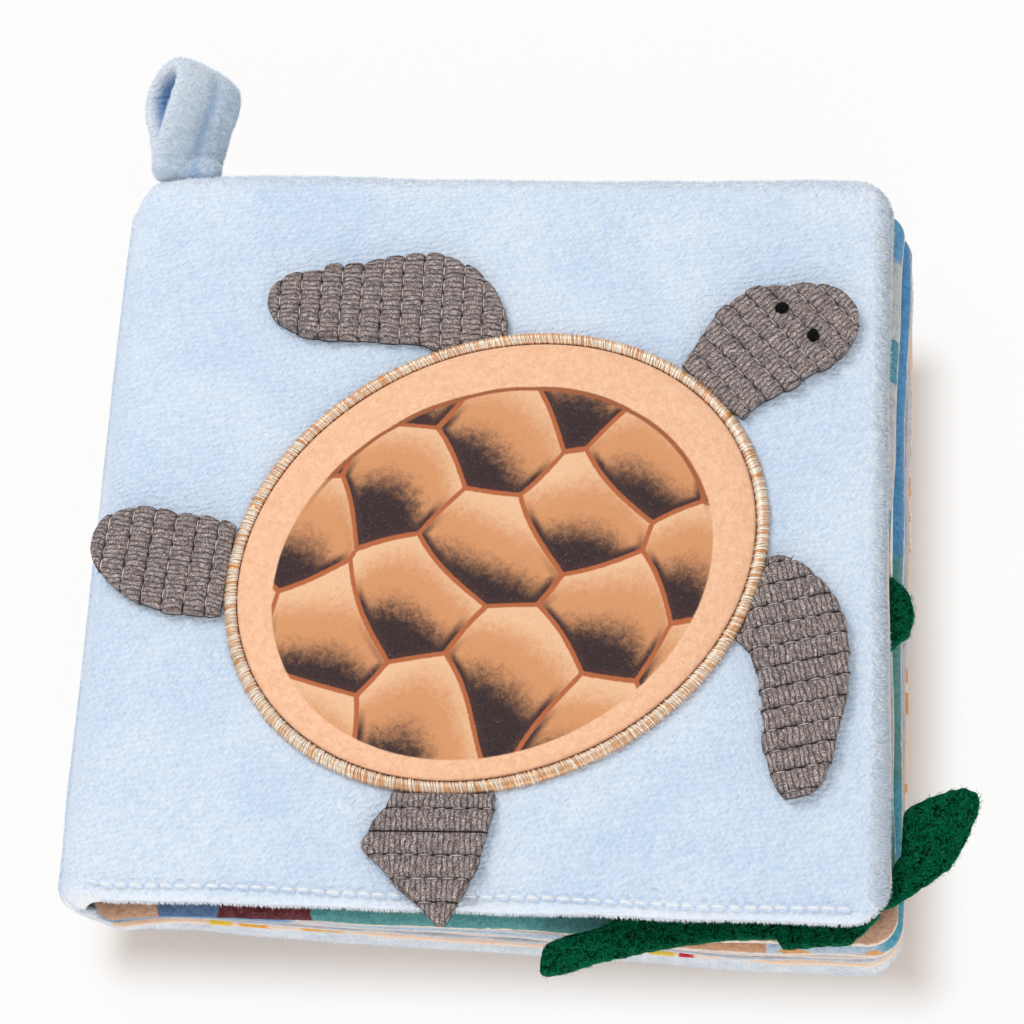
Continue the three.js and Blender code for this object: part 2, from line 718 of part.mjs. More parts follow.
{
  const steps = 22;
  const rootTurn = THREE.MathUtils.degToRad(LOOP_ROOT_TURN_DEG);
  const tipTurn = THREE.MathUtils.degToRad(LOOP_TURN_DEG);
  const half = LOOP_BAND_WIDTH / 2;
  const thin = LOOP_BAND_THICKNESS / 2;
  const reach = LOOP_LENGTH - thin;
  const part = LOOP_OPENING / 2 + thin;
  const sectionShares = [[1, 0.4], [0.8, 1], [-0.8, 1], [-1, 0.4], [-1, -0.4], [-0.8, -1], [0.8, -1], [1, -0.4]];
  const centre = (share) => {
    const swing = share * Math.PI;
    const out = reach * Math.sin(swing) ** 0.8;
    const lift = part * Math.sin(2 * swing);
    return [out, lift];
  };
  const rings = [];
  for (let i = 0; i <= steps; i += 1) {
    const share = i / steps;
    const [out, lift] = centre(share);
    const [outA, liftA] = centre(Math.max(share - 0.01, 0));
    const [outB, liftB] = centre(Math.min(share + 0.01, 1));
    const slope = Math.atan2(liftB - liftA, outB - outA);
    const turn = rootTurn + (tipTurn - rootTurn) * THREE.MathUtils.smoothstep(out, 0, reach);
    const wide = new THREE.Vector3(Math.cos(turn), 0, -Math.sin(turn));
    const up = new THREE.Vector3(Math.sin(turn), 0, Math.cos(turn));
    const normal = up.clone().multiplyScalar(Math.cos(slope));
    normal.y = -Math.sin(slope);
    rings.push(sectionShares.map(([acrossShare, throughShare]) => {
      const point = new THREE.Vector3(0, out, 0).addScaledVector(up, lift);
      point.addScaledVector(wide, acrossShare * half);
      return point.addScaledVector(normal, throughShare * thin);
    }));
  }
  const root = new THREE.CylinderGeometry(LOOP_ROOT_RADIUS, LOOP_ROOT_RADIUS, LOOP_BAND_WIDTH, 12);
  root.rotateZ(Math.PI / 2);
  const tip = steps / 2;
  const strands = toSolid(skin(rings.slice(0, tip + 1))).add(toSolid(skin(rings.slice(tip))));
  const loop = fromSolid(strands.add(toSolid(root)).simplify(SHORTEST_EDGE));
  const mesh = add('hanging_loop', loop, PLUSH_BLUE, 0.95);
  const rootY = coverTop + SEAT_GAP + LOOP_ROOT_RADIUS;
  mesh.position.set(LOOP_FROM_SPINE - coverRight, rootY, coverSurface - LOOP_DROP);
}

export default book;
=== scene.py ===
import math

import bpy
import numpy as np
from mathutils import Matrix, Vector, noise


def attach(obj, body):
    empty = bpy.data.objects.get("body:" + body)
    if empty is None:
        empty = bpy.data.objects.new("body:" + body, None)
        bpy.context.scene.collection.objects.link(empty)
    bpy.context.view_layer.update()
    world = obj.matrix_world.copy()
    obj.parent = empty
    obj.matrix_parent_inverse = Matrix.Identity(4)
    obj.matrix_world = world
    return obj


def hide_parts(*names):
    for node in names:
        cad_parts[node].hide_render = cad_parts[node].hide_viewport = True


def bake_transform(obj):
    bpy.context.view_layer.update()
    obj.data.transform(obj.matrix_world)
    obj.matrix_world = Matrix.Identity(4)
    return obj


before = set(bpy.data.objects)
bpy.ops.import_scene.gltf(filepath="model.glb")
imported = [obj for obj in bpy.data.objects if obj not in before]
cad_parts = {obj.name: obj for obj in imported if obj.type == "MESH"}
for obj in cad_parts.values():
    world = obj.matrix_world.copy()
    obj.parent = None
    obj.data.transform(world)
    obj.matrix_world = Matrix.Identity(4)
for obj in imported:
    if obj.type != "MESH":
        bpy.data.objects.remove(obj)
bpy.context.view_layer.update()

# Photo stand: the camera looks down on the book from its foot, a little to the right of the
# middle and rolled against the table's edge, so the book lies aslant in the picture.

AIM = Vector((0.00361, 0.00368, 0.0325))
DISTANCE = 0.5844
HEIGHT_ANGLE, SIDE_ANGLE, ROLL = (math.radians(a) for a in (67.47, 13.34, -11.19))
FOCAL_PIXELS = 3079.7
PHOTO_PIXELS = 1024
SENSOR_WIDTH = 36

back = Vector((
    math.sin(SIDE_ANGLE) * math.cos(HEIGHT_ANGLE),
    -math.cos(SIDE_ANGLE) * math.cos(HEIGHT_ANGLE),
    math.sin(HEIGHT_ANGLE),
))
level = (-back).cross(Vector((0, 0, 1))).normalized()
upright = level.cross(-back)
right = level * math.cos(ROLL) + upright * math.sin(ROLL)
upward = upright * math.cos(ROLL) - level * math.sin(ROLL)
bpy.ops.object.select_all(action="DESELECT")
bpy.ops.object.camera_add(location=AIM + back * DISTANCE)
camera = bpy.context.object
camera.rotation_mode = "QUATERNION"
camera.rotation_quaternion = Matrix((right, upward, back)).transposed().to_quaternion()
camera.data.sensor_width = SENSOR_WIDTH
camera.data.lens = FOCAL_PIXELS / PHOTO_PIXELS * SENSOR_WIDTH
camera.data.clip_start = 0.01
bpy.context.scene.camera = camera
bpy.context.scene.view_settings.view_transform = "Standard"

# Floor: a white sheet of paper that the book lies on. It keeps the book's shadow near the book,
# where a painted warm shadow deepens it, and is plain white further out, and the world round it is white
# too.


class Tone:
    """A socket of the material in hand. Sums of tones and numbers add Math nodes."""

    def __init__(self, tree, socket=None):
        self.tree = tree
        self.socket = socket

    def node(self, kind, settings=None, sockets=None, out=0):
        made = self.tree.nodes.new("ShaderNode" + kind)
        for name, value in (settings or {}).items():
            setattr(made, name, value)
        for name, value in (sockets or {}).items():
            if isinstance(value, Tone):
                self.tree.links.new(value.socket, made.inputs[name])
            else:
                made.inputs[name].default_value = value
        return Tone(self.tree, made.outputs[out] if made.outputs else None)

    def sum(self, operation, *terms):
        return self.node("Math", {"operation": operation}, dict(enumerate(terms)))

    def __add__(self, other):
        return self.sum("ADD", self, other)

    def __sub__(self, other):
        return self.sum("SUBTRACT", self, other)

    def __mul__(self, other):
        return self.sum("MULTIPLY", self, other)

    def __truediv__(self, other):
        return self.sum("DIVIDE", self, other)

    def sin(self):
        return self.sum("SINE", self)

    def abs(self):
        return self.sum("ABSOLUTE", self)

    def most(self, other):
        return self.sum("MAXIMUM", self, other)

    def rise(self, low, high):
        """0 below low, 1 above high, and smooth between them; low may be the larger."""
        return self.node("MapRange", {"interpolation_type": "SMOOTHSTEP"},
                         {"Value": self, "From Min": low, "From Max": high})

    def mix(self, first, second):
        """The first colour where this tone is 0 and the second where it is 1."""
        first, second = (dye(c) if isinstance(c, str) else c for c in (first, second))
        return self.node("Mix", {"data_type": "RGBA"}, {0: self, 6: first, 7: second}, 2)

    def vector(self, operation, sockets=None, out=0):
        return self.node("VectorMath", {"operation": operation}, {0: self, **(sockets or {})}, out)

    def parts(self):
        """The x, y and z of this place, in millimetres."""
        split = self.node("SeparateXYZ", {}, {0: self}).socket.node
        return [Tone(self.tree, socket) * 1000.0 for socket in split.outputs]

    def read(self, name):
        """The number of this name that a piece keeps for each vertex."""
        return self.node("Attribute", {"attribute_name": name}, out="Fac")

    def bump(self, strength, distance):
        """Normals of a surface that this tone raises, by a distance in metres."""
        return self.node("Bump", {}, {"Strength": strength, "Distance": distance, "Height": self})

    def show(self, sockets):
        """Makes the material's surface a shader of this colour."""
        shader = self.node("BsdfPrincipled", {}, {"Base Color": self, **sockets})
        self.node("OutputMaterial", {}, {"Surface": shader})


def dye(hexadecimal):
    """A colour as the eye reads it, made linear."""
    parts = [int(hexadecimal[i:i + 2], 16) / 255 for i in (1, 3, 5)]
    return (*[p / 12.92 if p <= 0.04045 else ((p + 0.055) / 1.055) ** 2.4 for p in parts], 1.0)


def material(name):
    """An empty material, and each place on its object as a tone."""
    made = bpy.data.materials.new(name)
    made.use_nodes = True
    made.node_tree.nodes.clear()
    return made, Tone(made.node_tree).node("TexCoord", out="Object")


def primitive(name, add, **settings):
    """A new object from one of Blender's operators."""
    bpy.ops.object.select_all(action="DESELECT")
    add(**settings)
    piece = bpy.context.object
    piece.name = piece.data.name = name
    return piece


FLOOR_HALF = 3.0
SHADOW_AT = (0.0062, -0.0135, 0.0)
SHADOW_HALF = (0.0738, 0.061, 1.0)
floor_paper, place = material("floor_paper")
away = place.vector("SUBTRACT", {1: SHADOW_AT}).vector("ABSOLUTE")
away = away.vector("SUBTRACT", {1: SHADOW_HALF}).vector("MAXIMUM", {1: (0.0, 0.0, 0.0)})
away = away.vector("LENGTH", out="Value")
seen = place.node("LightPath", out="Is Camera Ray")
for ray in ("Is Glossy Ray", "Is Transmission Ray"):
    seen = seen.most(place.node("LightPath", out=ray))
# Camera rays see the paper in a warm brown: a painted shadow near the book, which the white glow covers
# further out.
paper_and_painted_shadow_colour = seen.mix((0.94, 0.925, 0.91, 1), (0.78, 0.67, 0.59, 1))
paper = place.node("BsdfDiffuse", {}, {"Color": paper_and_painted_shadow_colour})
glow = place.node("Emission", {}, {"Color": (1, 1, 1, 1), "Strength": 1.0})
whiteness = away.rise(-0.004, 0.0115) * 0.93 * seen
both = place.node("MixShader", {}, {0: whiteness, 1: paper, 2: glow})
place.node("OutputMaterial", {}, {"Surface": both})
floor = primitive("floor", bpy.ops.mesh.primitive_plane_add, size=2 * FLOOR_HALF, location=(0, 0, -0.0001))
floor.data.materials.append(floor_paper)

# Lamps: a soft lamp high up behind the book on the spine's side, and a wider, weaker and lower one
# at the foot, in a white room that lights the book from all round.

world = bpy.data.worlds.new("room")
world.use_nodes = True
world.node_tree.nodes["Background"].inputs["Color"].default_value = (1, 1, 1, 1)
world.node_tree.nodes["Background"].inputs["Strength"].default_value = 0.65
bpy.context.scene.world = world
for name, spot, size, power in (
    ("key", (-0.63, 0.69, 1.12), 0.6, 8.8),
    ("fill", (0.3, -1.15, 0.42), 0.9, 6.0),
):
    lamp = primitive(name, bpy.ops.object.light_add, type="AREA", location=spot)
    lamp.data.size = size
    lamp.data.energy = power
    lamp.rotation_euler = (-Vector(spot)).to_track_quat("-Z", "Y").to_euler()

# Back cover, the lowest of the four panels: a plush outside that runs on round the spine, a velour
# lining, and between them soft wadding and a sheet of crinkle film. All are sewn at the rim.

MM = 0.001
COVER = {"right": 75.0, "foot": -75.0, "head": 75.0, "corner": 7.0, "round": 5.0}
BACK = {"right": 79.8, "foot": -76.5, "head": 75.0, "corner": 8.0, "round": 5.5}
SPINE_TOP = 32.6
SPINE_PATH = [(-52, SPINE_TOP), (-60, SPINE_TOP), (-66, 32.45), (-70.6, 31.6), (-74.1, 29.3),
              (-76.2, 25.4), (-77.5, 20.7), (-78.1, 15.8), (-77.6, 10.9), (-76.4, 6.6), (-74.1, 2.9),
              (-70.6, 0.8), (-66, 0.15), (-60, 0.0), (-52, 0.0)]
FLAT_FROM = -60.0
PINCH = 6.8
DRAWN_IN = 2.2


def steps(low, high, fine, coarse, low_margin, high_margin):
    """Places along a side: fine near its ends, where the cloth turns, and coarse between."""
    parts = [np.arange(low, low + low_margin, fine)] if low_margin else []
    parts.append(np.linspace(low + low_margin, high - high_margin,
                             max(int((high - low - low_margin - high_margin) / coarse), 2)))
    if high_margin:
        parts.append(np.arange(high, high - high_margin, -fine)[::-1])
    return np.unique(np.round(np.concatenate(parts), 4))


def cloth_grid(name, columns, rows):
    """A flat grid whose vertices stand at these places, in millimetres, in the order of rows."""
    piece = primitive(name, bpy.ops.mesh.primitive_grid_add, x_subdivisions=len(columns) - 1,
                      y_subdivisions=len(rows) - 1, size=2)
    at = points_of(piece)
    column = np.rint((at[:, 0] + 1) / 2 * (len(columns) - 1)).astype(int)
    row = np.rint((at[:, 1] + 1) / 2 * (len(rows) - 1)).astype(int)
    move(piece, np.stack([columns[column], rows[row], 0 * at[:, 2]], 1))
    return piece


def points_of(piece, kept="co"):
    """The places of a piece's vertices, or their normals, one row each."""
    at = np.zeros(len(piece.data.vertices) * 3)
    piece.data.vertices.foreach_get(kept, at)
    return at.reshape(-1, 3)


def move(piece, at):
    """Puts a piece's vertices at these places."""
    piece.data.vertices.foreach_set("co", np.asarray(at, float).ravel())
    piece.data.update()


def mark(piece, name, values):
    """Keeps a number for each vertex, which a finish can read."""
    kept = piece.data.attributes.get(name) or piece.data.attributes.new(name, "FLOAT", "POINT")
    kept.data.foreach_set("value", np.asarray(values, np.float32))


def smoothstep(value, low, high):
    """0 below low, 1 above high, and smooth between them."""
    share = np.clip((value - low) / (high - low), 0, 1)
    return share * share * (3 - 2 * share)


def drift(at, size, seed):
    """Slow, even noise from -1 to 1 over points in millimetres."""
    return np.array([noise.noise(Vector((p[0] / size + seed, p[1] / size - seed, p[2] / size)))
                     for p in at])


def past_straights(x, y, panel, extra, left):
    """How far past the straight run of the rim each point lies, its sides, and the corners' radius."""
    right, foot, head = panel["right"] + extra, panel["foot"] - extra, panel["head"] + extra
    corner = panel["corner"] + extra
    over_x = x - (right - corner)
    side_x = np.ones_like(x)
    if left is not None:
        on_left = x < (left + right) / 2
        over_x = np.where(on_left, (left - extra + corner) - x, over_x)
        side_x = np.where(on_left, -1.0, 1.0)
    middle = (foot + head) / 2
    over_y = np.abs(y - middle) - ((head - foot) / 2 - corner)
    return over_x, over_y, side_x, np.sign(y - middle), corner


def inside(x, y, panel, extra, left):
    """How far in from a panel's rounded rim each point lies, and the way out to the rim."""
    over_x, over_y, side_x, side_y, corner = past_straights(x, y, panel, extra, left)
    far = np.hypot(np.maximum(over_x, 0), np.maximum(over_y, 0))
    depth = corner - (far + np.minimum(np.maximum(over_x, over_y), 0))
    in_corner = (over_x > 0) & (over_y > 0)
    way_x = np.where(in_corner, over_x / np.maximum(far, 1e-6), over_x >= over_y)
    way_y = np.where(in_corner, over_y / np.maximum(far, 1e-6), over_x < over_y)
    return depth, way_x * side_x, way_y * side_y


def round_corners(x, y, panel, extra, left):
    """Pulls the square corners of a grid in onto the panel's rounded ones."""
    over_x, over_y, side_x, side_y, _ = past_straights(x, y, panel, extra, left)
    both = (over_x > 0) & (over_y > 0)
    share = np.where(both, np.maximum(over_x, over_y) / np.maximum(np.hypot(over_x, over_y), 1e-6), 1)
    return x - side_x * over_x * (1 - share) * both, y - side_y * over_y * (1 - share) * both


def turn_in(panel, rise):
    """The cloth's way round a panel's edge, and what that takes beyond the edge's flat width."""
    girth = math.pi * math.sqrt((panel["round"] ** 2 + rise ** 2) / 2) / 2
    return girth, girth - panel["round"]


def settle(piece, panel, rise, seam, side, left, crown, wave, seed):
    """Gives a cloth its round shoulder, crown and slight waves. side is 1 up and -1 down."""
    girth, extra = turn_in(panel, rise)
    at = points_of(piece)
    x, y = round_corners(at[:, 0], at[:, 1], panel, extra, left)
    depth, way_x, way_y = inside(x, y, panel, extra, left)
    turn = np.clip(depth / girth, 0, 1) * math.pi / 2
    pull = np.where(depth < girth, extra - depth + panel["round"] * (1 - np.cos(turn)), 0)
    ripple = drift(np.stack([x, y, 0 * x], 1), 14.0, seed)
    pull = pull + 0.5 * ripple * smoothstep(girth - depth, 0, girth)
    height = (rise - crown) * np.sin(turn) + crown * smoothstep(depth, girth, girth + 22)
    height = height + wave * ripple * smoothstep(depth, 1.0, girth)
    move(piece, np.stack([x - way_x * pull, y - way_y * pull, seam + side * height], 1))
    mark(piece, "rim", depth)


def spine_place(along):
    """The point and outward normal on the spine's section, by its length from the upper flat."""
    path = np.array(SPINE_PATH, float)
    fine = []
    for i in range(1, len(path) - 2):
        a, b, c, d = path[i - 1:i + 3]
        t = np.linspace(0, 1, 24, endpoint=False)[:, None]
        fine.append(0.5 * (2 * b + (c - a) * t + (2 * a - 5 * b + 4 * c - d) * t ** 2
                           + (3 * b - a - 3 * c + d) * t ** 3))
    fine = np.vstack(fine + [path[-2:-1]])
    length = np.concatenate([[0], np.cumsum(np.linalg.norm(np.diff(fine, axis=0), axis=1))])
    x, z = np.interp(along, length, fine[:, 0]), np.interp(along, length, fine[:, 1])
    ahead = np.stack([np.interp(along + 0.3, length, fine[:, k]) for k in (0, 1)], 1)
    behind = np.stack([np.interp(along - 0.3, length, fine[:, k]) for k in (0, 1)], 1)
    tangent = ahead - behind
    tangent /= np.maximum(np.linalg.norm(tangent, axis=1), 1e-9)[:, None]
    return x, z, tangent[:, 1], -tangent[:, 0], length[-1]


SPINE_LENGTH = float(spine_place(np.zeros(1))[4])


def wrap_spine(piece, flat_at, from_top):
    """Lays the part of a cover's cloth that lies left of FLAT_FROM round the spine."""
    at = points_of(piece)
    over = FLAT_FROM - flat_at
    rest = over > 0
    along = np.where(from_top, over, SPINE_LENGTH - over)
    x, z, out_x, out_z, _ = spine_place(along)
    sunk = np.where(from_top, SPINE_TOP - at[:, 2], at[:, 2])
    bent = np.stack([x - out_x * sunk, at[:, 1], z - out_z * sunk], 1)
    move(piece, np.where(rest[:, None], bent, at))


def pick(piece):
    """Makes a piece the one that the next operators work on."""
    bpy.ops.object.select_all(action="DESELECT")
    bpy.context.view_layer.objects.active = piece
    piece.select_set(True)


def modify(piece, kind, **settings):
    """Changes a piece for good by one of Blender's modifiers."""
    pick(piece)
    change = piece.modifiers.new(kind, kind)
    for name, value in settings.items():
        setattr(change, name, value)
    bpy.ops.object.modifier_apply(modifier=kind)


def thicken(piece, thickness):
    """Gives a cloth its thickness on its inner side."""
    modify(piece, "SOLIDIFY", thickness=thickness, offset=-1)


def stuff(piece, thickness, low):
    """Makes a pad of a cloth: its inner side goes straight down to the height low."""
    upper = points_of(piece)
    count = len(upper)
    thicken(piece, thickness)
    at = points_of(piece)
    at[count:2 * count, :2] = upper[:, :2]
    at[count:2 * count, 2] = low
    move(piece, at)


def on_whole_mesh(piece, change, **settings):
    """Runs one of Blender's mesh operators on all of a piece's mesh."""
    pick(piece)
    bpy.ops.object.mode_set(mode="EDIT")
    bpy.ops.mesh.select_all(action="SELECT")
    change(**settings)
    bpy.ops.object.mode_set(mode="OBJECT")


def squeezed(at):
    """The book is pinched where spine and foot meet: what lies low there is drawn up and in."""
    at = at.copy()
    x, y, z = at.T
    freed = 1 - 0.6 * smoothstep(-x, 62.0, 75.0)
    by_foot = smoothstep(-y, 22.0, 77.0)
    corner = smoothstep(-x, 12.0, 74.0) * by_foot * freed
    foot = smoothstep(-x, -55.0, 45.0) * by_foot * freed
    low = 1 - smoothstep(z, 9.0, 24.0)
    y += DRAWN_IN * foot * low
    y -= 0.9 * smoothstep(x, 15.0, 60.0) * smoothstep(-y, 60.0, 77.0) * low
    z += PINCH * corner * (1 - smoothstep(z, 2.0, 33.0))
    y += 1.6 * smoothstep(-x, 66.0, 73.0) * smoothstep(-y, 62.0, 76.0)
    # the head of the front cover stands out, most by its ends, and the spine a little
    head = np.interp(x, (-78, -71, -60, -51, -43, -23, 0, 17, 37, 57, 75),
                     (0.3, 1.2, 1.3, 2.0, 2.0, 1.5, 1.2, 1.4, 1.6, 2.1, 2.3))
    y += head * smoothstep(y, 56.0, 75.0) * smoothstep(z, 25.5, 28.0)
    x -= 0.8 * smoothstep(-x, 70.0, 78.0)
    return at


def filling_out(at):
    """In that corner the leaves and linings fill the hollow by the spine."""
    at = at.copy()
    x, y, z = at.T
    fill = np.exp(-((x + 66.5) ** 2 + (y + 72.0) ** 2) / 45.0)
    fill *= smoothstep(z, 7.5, 9.5) * (1 - smoothstep(z, 24.5, 26.0))
    x -= 2.4 * fill
    y -= 1.5 * fill
    return at


def bowed(piece, spots, shifts):
    """Moves the fore-edge out by these shifts at these places from foot to head."""
    at = points_of(piece)
    at[:, 0] += np.interp(at[:, 1], spots, shifts) * smoothstep(at[:, 0], -70.0, 78.0)
    move(piece, at)


def finish_off(piece, body, nodes, finish, slot, pinched=True):
    """Takes a piece from millimetres to metres and joins it to its body, nodes and finish."""
    at = points_of(piece)
    if pinched:
        at = squeezed(at)
    if piece.name.endswith(("_page", "_lining")):
        at = filling_out(at)
    move(piece, at * MM)
    pick(piece)
    bpy.ops.object.shade_smooth()
    piece.data.materials.clear()
    piece.data.materials.append(finish)
    if nodes:
        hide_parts(*nodes)
    if body:
        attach(piece, body)


def grain_of(place, size, detail=2.0, rough=0.6, stretch=(1, 1, 1), warp=0.0):
    """Noise from 0 to 1 with spots of this size in millimetres."""
    drawn = place.vector("MULTIPLY", {1: tuple(1000 / size * s for s in stretch)})
    return place.node("TexNoise", {}, {"Vector": drawn, "Scale": 1.0, "Detail": detail,
                                       "Roughness": rough, "Distortion": warp})


def cloth_finish(name, paint, nap, sheen=0.35, nap_size=0.55, stretch=(1, 1, 1),
                 sheen_tint=(1, 1, 1, 1), specular=0.25, rows=None):
    """A napped cloth: paint gives its colour, nap the depth of its pile in tenths of a millimetre,
    and rows the pattern in which the pile stands, if it has one."""
    made, place = material(name)
    fine = grain_of(place, nap_size, 2.5, 0.65, stretch, 0.6)
    tufts = grain_of(place, nap_size * 3.2, 2.0, 0.5, stretch, 0.8)
    bumps = fine * 0.6 + tufts * 0.7
    if rows:
        bumps = bumps + rows(place, tufts) * 0.22
    paint(place, fine, tufts).show({
        "Roughness": fine * 0.12 + 0.84, "Sheen Weight": sheen, "Sheen Roughness": 0.45,
        "Sheen Tint": sheen_tint, "Specular IOR Level": specular,
        "Normal": bumps.bump(1.0, nap * 0.0001)})
    return made


GRAIN_SHARE = 0.45


def tinted(low, high, blotch):
    """Paint of one colour that wanders between two shades, by blotches and by its grain."""
    def paint(place, fine, tufts):
        broad = grain_of(place, blotch, 2.0, 0.5)
        grain = fine.rise(0.25, 0.75) * (GRAIN_SHARE / 2) + tufts.rise(0.3, 0.7) * (GRAIN_SHARE / 2)
        blend = broad.rise(0.3, 0.7) * (1 - GRAIN_SHARE) + grain
        return blend.mix(low, high)
    return paint


def back_paint(place, fine, tufts):
    """The back's plush is greyer, but not where it runs up round the spine, which keeps a clear blue."""
    x, _, z = place.parts()
    greyish = tinted("#c6ced7", "#e6eaef", 5.0)(place, fine, tufts)
    clear_blue = tinted("#bad2ef", "#e4eefa", 12.0)(place, fine, tufts)
    return (x.rise(-73.0, -75.5) * z.rise(4.0, 8.0)).mix(greyish, clear_blue)


plush_back = cloth_finish("plush_back", back_paint, nap=4.5, stretch=(0.8, 1, 1))
velour_lining = cloth_finish("velour_lining", tinted("#f0c9ab", "#fbe0c9", 12.0), nap=2.5, nap_size=0.4)


def dashed_paint(place, fine, tufts):
    """Peach velour with short printed dashes, orange by the fore-edge and yellow at the foot."""
    speck = (tufts - 0.5) * 1.6
    x, y, _ = (part + speck for part in place.parts())

    def dash(cx, cy, wide, tall):
        return ((x - cx) / wide).abs().rise(1.2, 0.8) * ((y - cy) / tall).abs().rise(1.15, 0.85)

    colour = tinted("#f3cdb0", "#fde3cd", 12.0)(place, fine, tufts)
    for cy, tall in ((40.2, 1.6), (31.1, 2.6), (27.6, 0.8), (20.6, 2.2), (14.3, 1.0), (8.4, 1.8),
                     (-18.4, 1.5), (-24.3, 2.4), (-41.0, 1.0), (-52.0, 1.6)):
        colour = dash(78.6, cy, 1.1, tall).mix(colour, "#eb9a45")
    for cx, wide, ink in ((-49.0, 2.0, "#f6c83c"), (-43.0, 2.8, "#f7a823"), (-30.0, 3.8, "#f3ab33"),
                          (34.0, 2.3, "#ecc94a"), (38.6, 1.4, "#c9202f")):
        colour = dash(cx, -73.6, wide, 2.6).mix(colour, ink)
    return colour


dashed_lining = cloth_finish("dashed_lining", dashed_paint, nap=2.5, nap_size=0.4)
wadding = cloth_finish("wadding", tinted("#e6e4dc", "#f6f4ee", 5.0), nap=6.0, nap_size=0.9)


def film_finish():
    """Thin clear film, creased all over so that it crackles."""
    made, place = material("crinkle_film")
    drawn = place.vector("SCALE", {"Scale": 140.0})
    creases = place.node("TexVoronoi", {"feature": "DISTANCE_TO_EDGE"}, {"Vector": drawn, "Scale": 1.0})
    creases.rise(0.0, 0.2).mix("#f4f7f8", "#dfe6ea").show({
        "Roughness": creases.rise(0, 0.3) * 0.15 + 0.18, "Specular IOR Level": 0.6,
        "Normal": creases.rise(0, 0.3).bump(0.8, 0.0006)})
    return made


crinkle_film = film_finish()


def cover_plush(name, panel, rise, seam, side, gore_to, crown, seed):
    """A cover's outside cloth, from its far rim to the spine and round it to gore_to millimetres."""
    girth, extra = turn_in(panel, rise)
    columns = steps(FLAT_FROM - gore_to, panel["right"] + extra, 0.6, 1.5, 0, girth + 2)
    rows = steps(panel["foot"] - extra, panel["head"] + extra, 0.6, 1.5, girth + 2, girth + 2)
    piece = cloth_grid(name, columns, rows)
    flat_at = points_of(piece)[:, 0]
    settle(piece, panel, rise, seam, side, None, crown, 0.2, seed)
    wrap_spine(piece, flat_at, side > 0)
    if side < 0:
        on_whole_mesh(piece, bpy.ops.mesh.flip_normals)
    return piece


def lining_cloth(name, panel, rise, seam, side, left, margin, foot_in, seed):
    """The cloth on the other side of a panel, sewn in at the rim all round."""
    shape = dict(panel, right=panel["right"] + margin, foot=panel["foot"] + foot_in)
    girth, extra = turn_in(panel, rise)
    columns = steps(left - extra, shape["right"] + extra, 0.9, 3.0, girth + 2, girth + 2)
    rows = steps(shape["foot"] - extra, shape["head"] + extra, 0.9, 3.0, girth + 2, girth + 2)
    piece = cloth_grid(name, columns, rows)
    settle(piece, shape, rise, seam, side, left, 0.3, 0.25, seed)
    if side < 0:
        on_whole_mesh(piece, bpy.ops.mesh.flip_normals)
    return piece


def inset(panel, margin):
    """A panel's shape, drawn in from its three free sides."""
    return dict(panel, right=panel["right"] - margin, foot=panel["foot"] + margin,
                head=panel["head"] - margin)


def stuffing(name, panel, left, low, high, margin, body, node):
    """Wadding between the cloths: a soft slab with a round edge, drawn in from the rim."""
    shape = inset(panel, margin)
    middle = (low + high) / 2
    columns = steps(left + margin, shape["right"], 1.2, 5.0, 5, 5)
    rows = steps(shape["foot"], shape["head"], 1.2, 5.0, 5, 5)
    piece = cloth_grid(name, columns, rows)
    at = points_of(piece)
    x, y = round_corners(at[:, 0], at[:, 1], shape, 0, left + margin)
    depth, _, _ = inside(x, y, shape, 0, left + margin)
    swell = (high - low) / 2 * np.sqrt(1 - (1 - np.clip(depth / 5, 0, 1)) ** 2)
    move(piece, np.stack([x, y, middle + swell + 0.02], 1))
    stuff(piece, 0.1, middle - swell - 0.02)
    finish_off(piece, body, [node], wadding, "wadding")


def film_sheet(name, panel, left, height, margin, body, node, seed):
    """The crinkle film, a creased sheet on the flat of the panel."""
    shape = inset(panel, margin)
    columns = steps(left + margin, shape["right"], 2.5, 2.5, 0, 0)
    rows = steps(shape["foot"], shape["head"], 2.5, 2.5, 0, 0)
    piece = cloth_grid(name, columns, rows)
    at = points_of(piece)
    at[:, 0], at[:, 1] = round_corners(at[:, 0], at[:, 1], shape, 0, left + margin)
    at[:, 2] = height + 0.12 * drift(at, 5.0, seed)
    move(piece, at)
    thicken(piece, 0.08)
    finish_off(piece, body, [node], crinkle_film, "crinkle_film")


stuffing("back_wadding", BACK, -70.5, 2.3, 6.0, 3.2, "back_cover", "back_cover_wadding")
film_sheet("back_film", BACK, -70.5, 6.7, 20.0, "back_cover", "back_cover_film", 3.1)
back_plush = cover_plush("back_plush", BACK, 6.9, 6.9, -1, 33.0, 0.3, 5.0)
at = points_of(back_plush)
x, y, z = at.T
turned = smoothstep(z, 3.0, 6.9)
y += (2.3 - 1.6 * smoothstep(-x, 60.0, 73.0)) * turned * smoothstep(-y, 60.0, 76.0)
x -= 0.9 * turned * smoothstep(x, 66.0, 79.0)
z += 1.2 * turned * smoothstep(x, -66.0, -58.0)
move(back_plush, at)
BACK_BOW = ((-75, -23, 36, 70), (-0.4, 0.1, 0.8, 0.7))
bowed(back_plush, *BACK_BOW)
thicken(back_plush, 1.6)
at = points_of(back_plush)
at[:, 2] = np.maximum(at[:, 2], 0.0)
move(back_plush, at)
finish_off(back_plush, None, ["back_cover_outer"], plush_back, "plush_back")
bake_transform(back_plush)
back_lining = lining_cloth("back_lining", BACK, 1.4, 7.1, 1, -71.3, -0.5, 1.5, 7.0)
bowed(back_lining, *BACK_BOW)
thicken(back_lining, 0.8)
finish_off(back_lining, "back_cover", ["back_cover_lining"], dashed_lining, "lining")

# Inner leaves: two padded pages of printed velour, each a front and a back cloth over wadding and
# film. They hang from the binding fold, and the upper leaf lies a little askew.

LEAF = {"right": 78.5, "foot": -74.6, "head": 75.0, "corner": 6.0, "round": 3.2}
LEAF_LEFT = -70.25


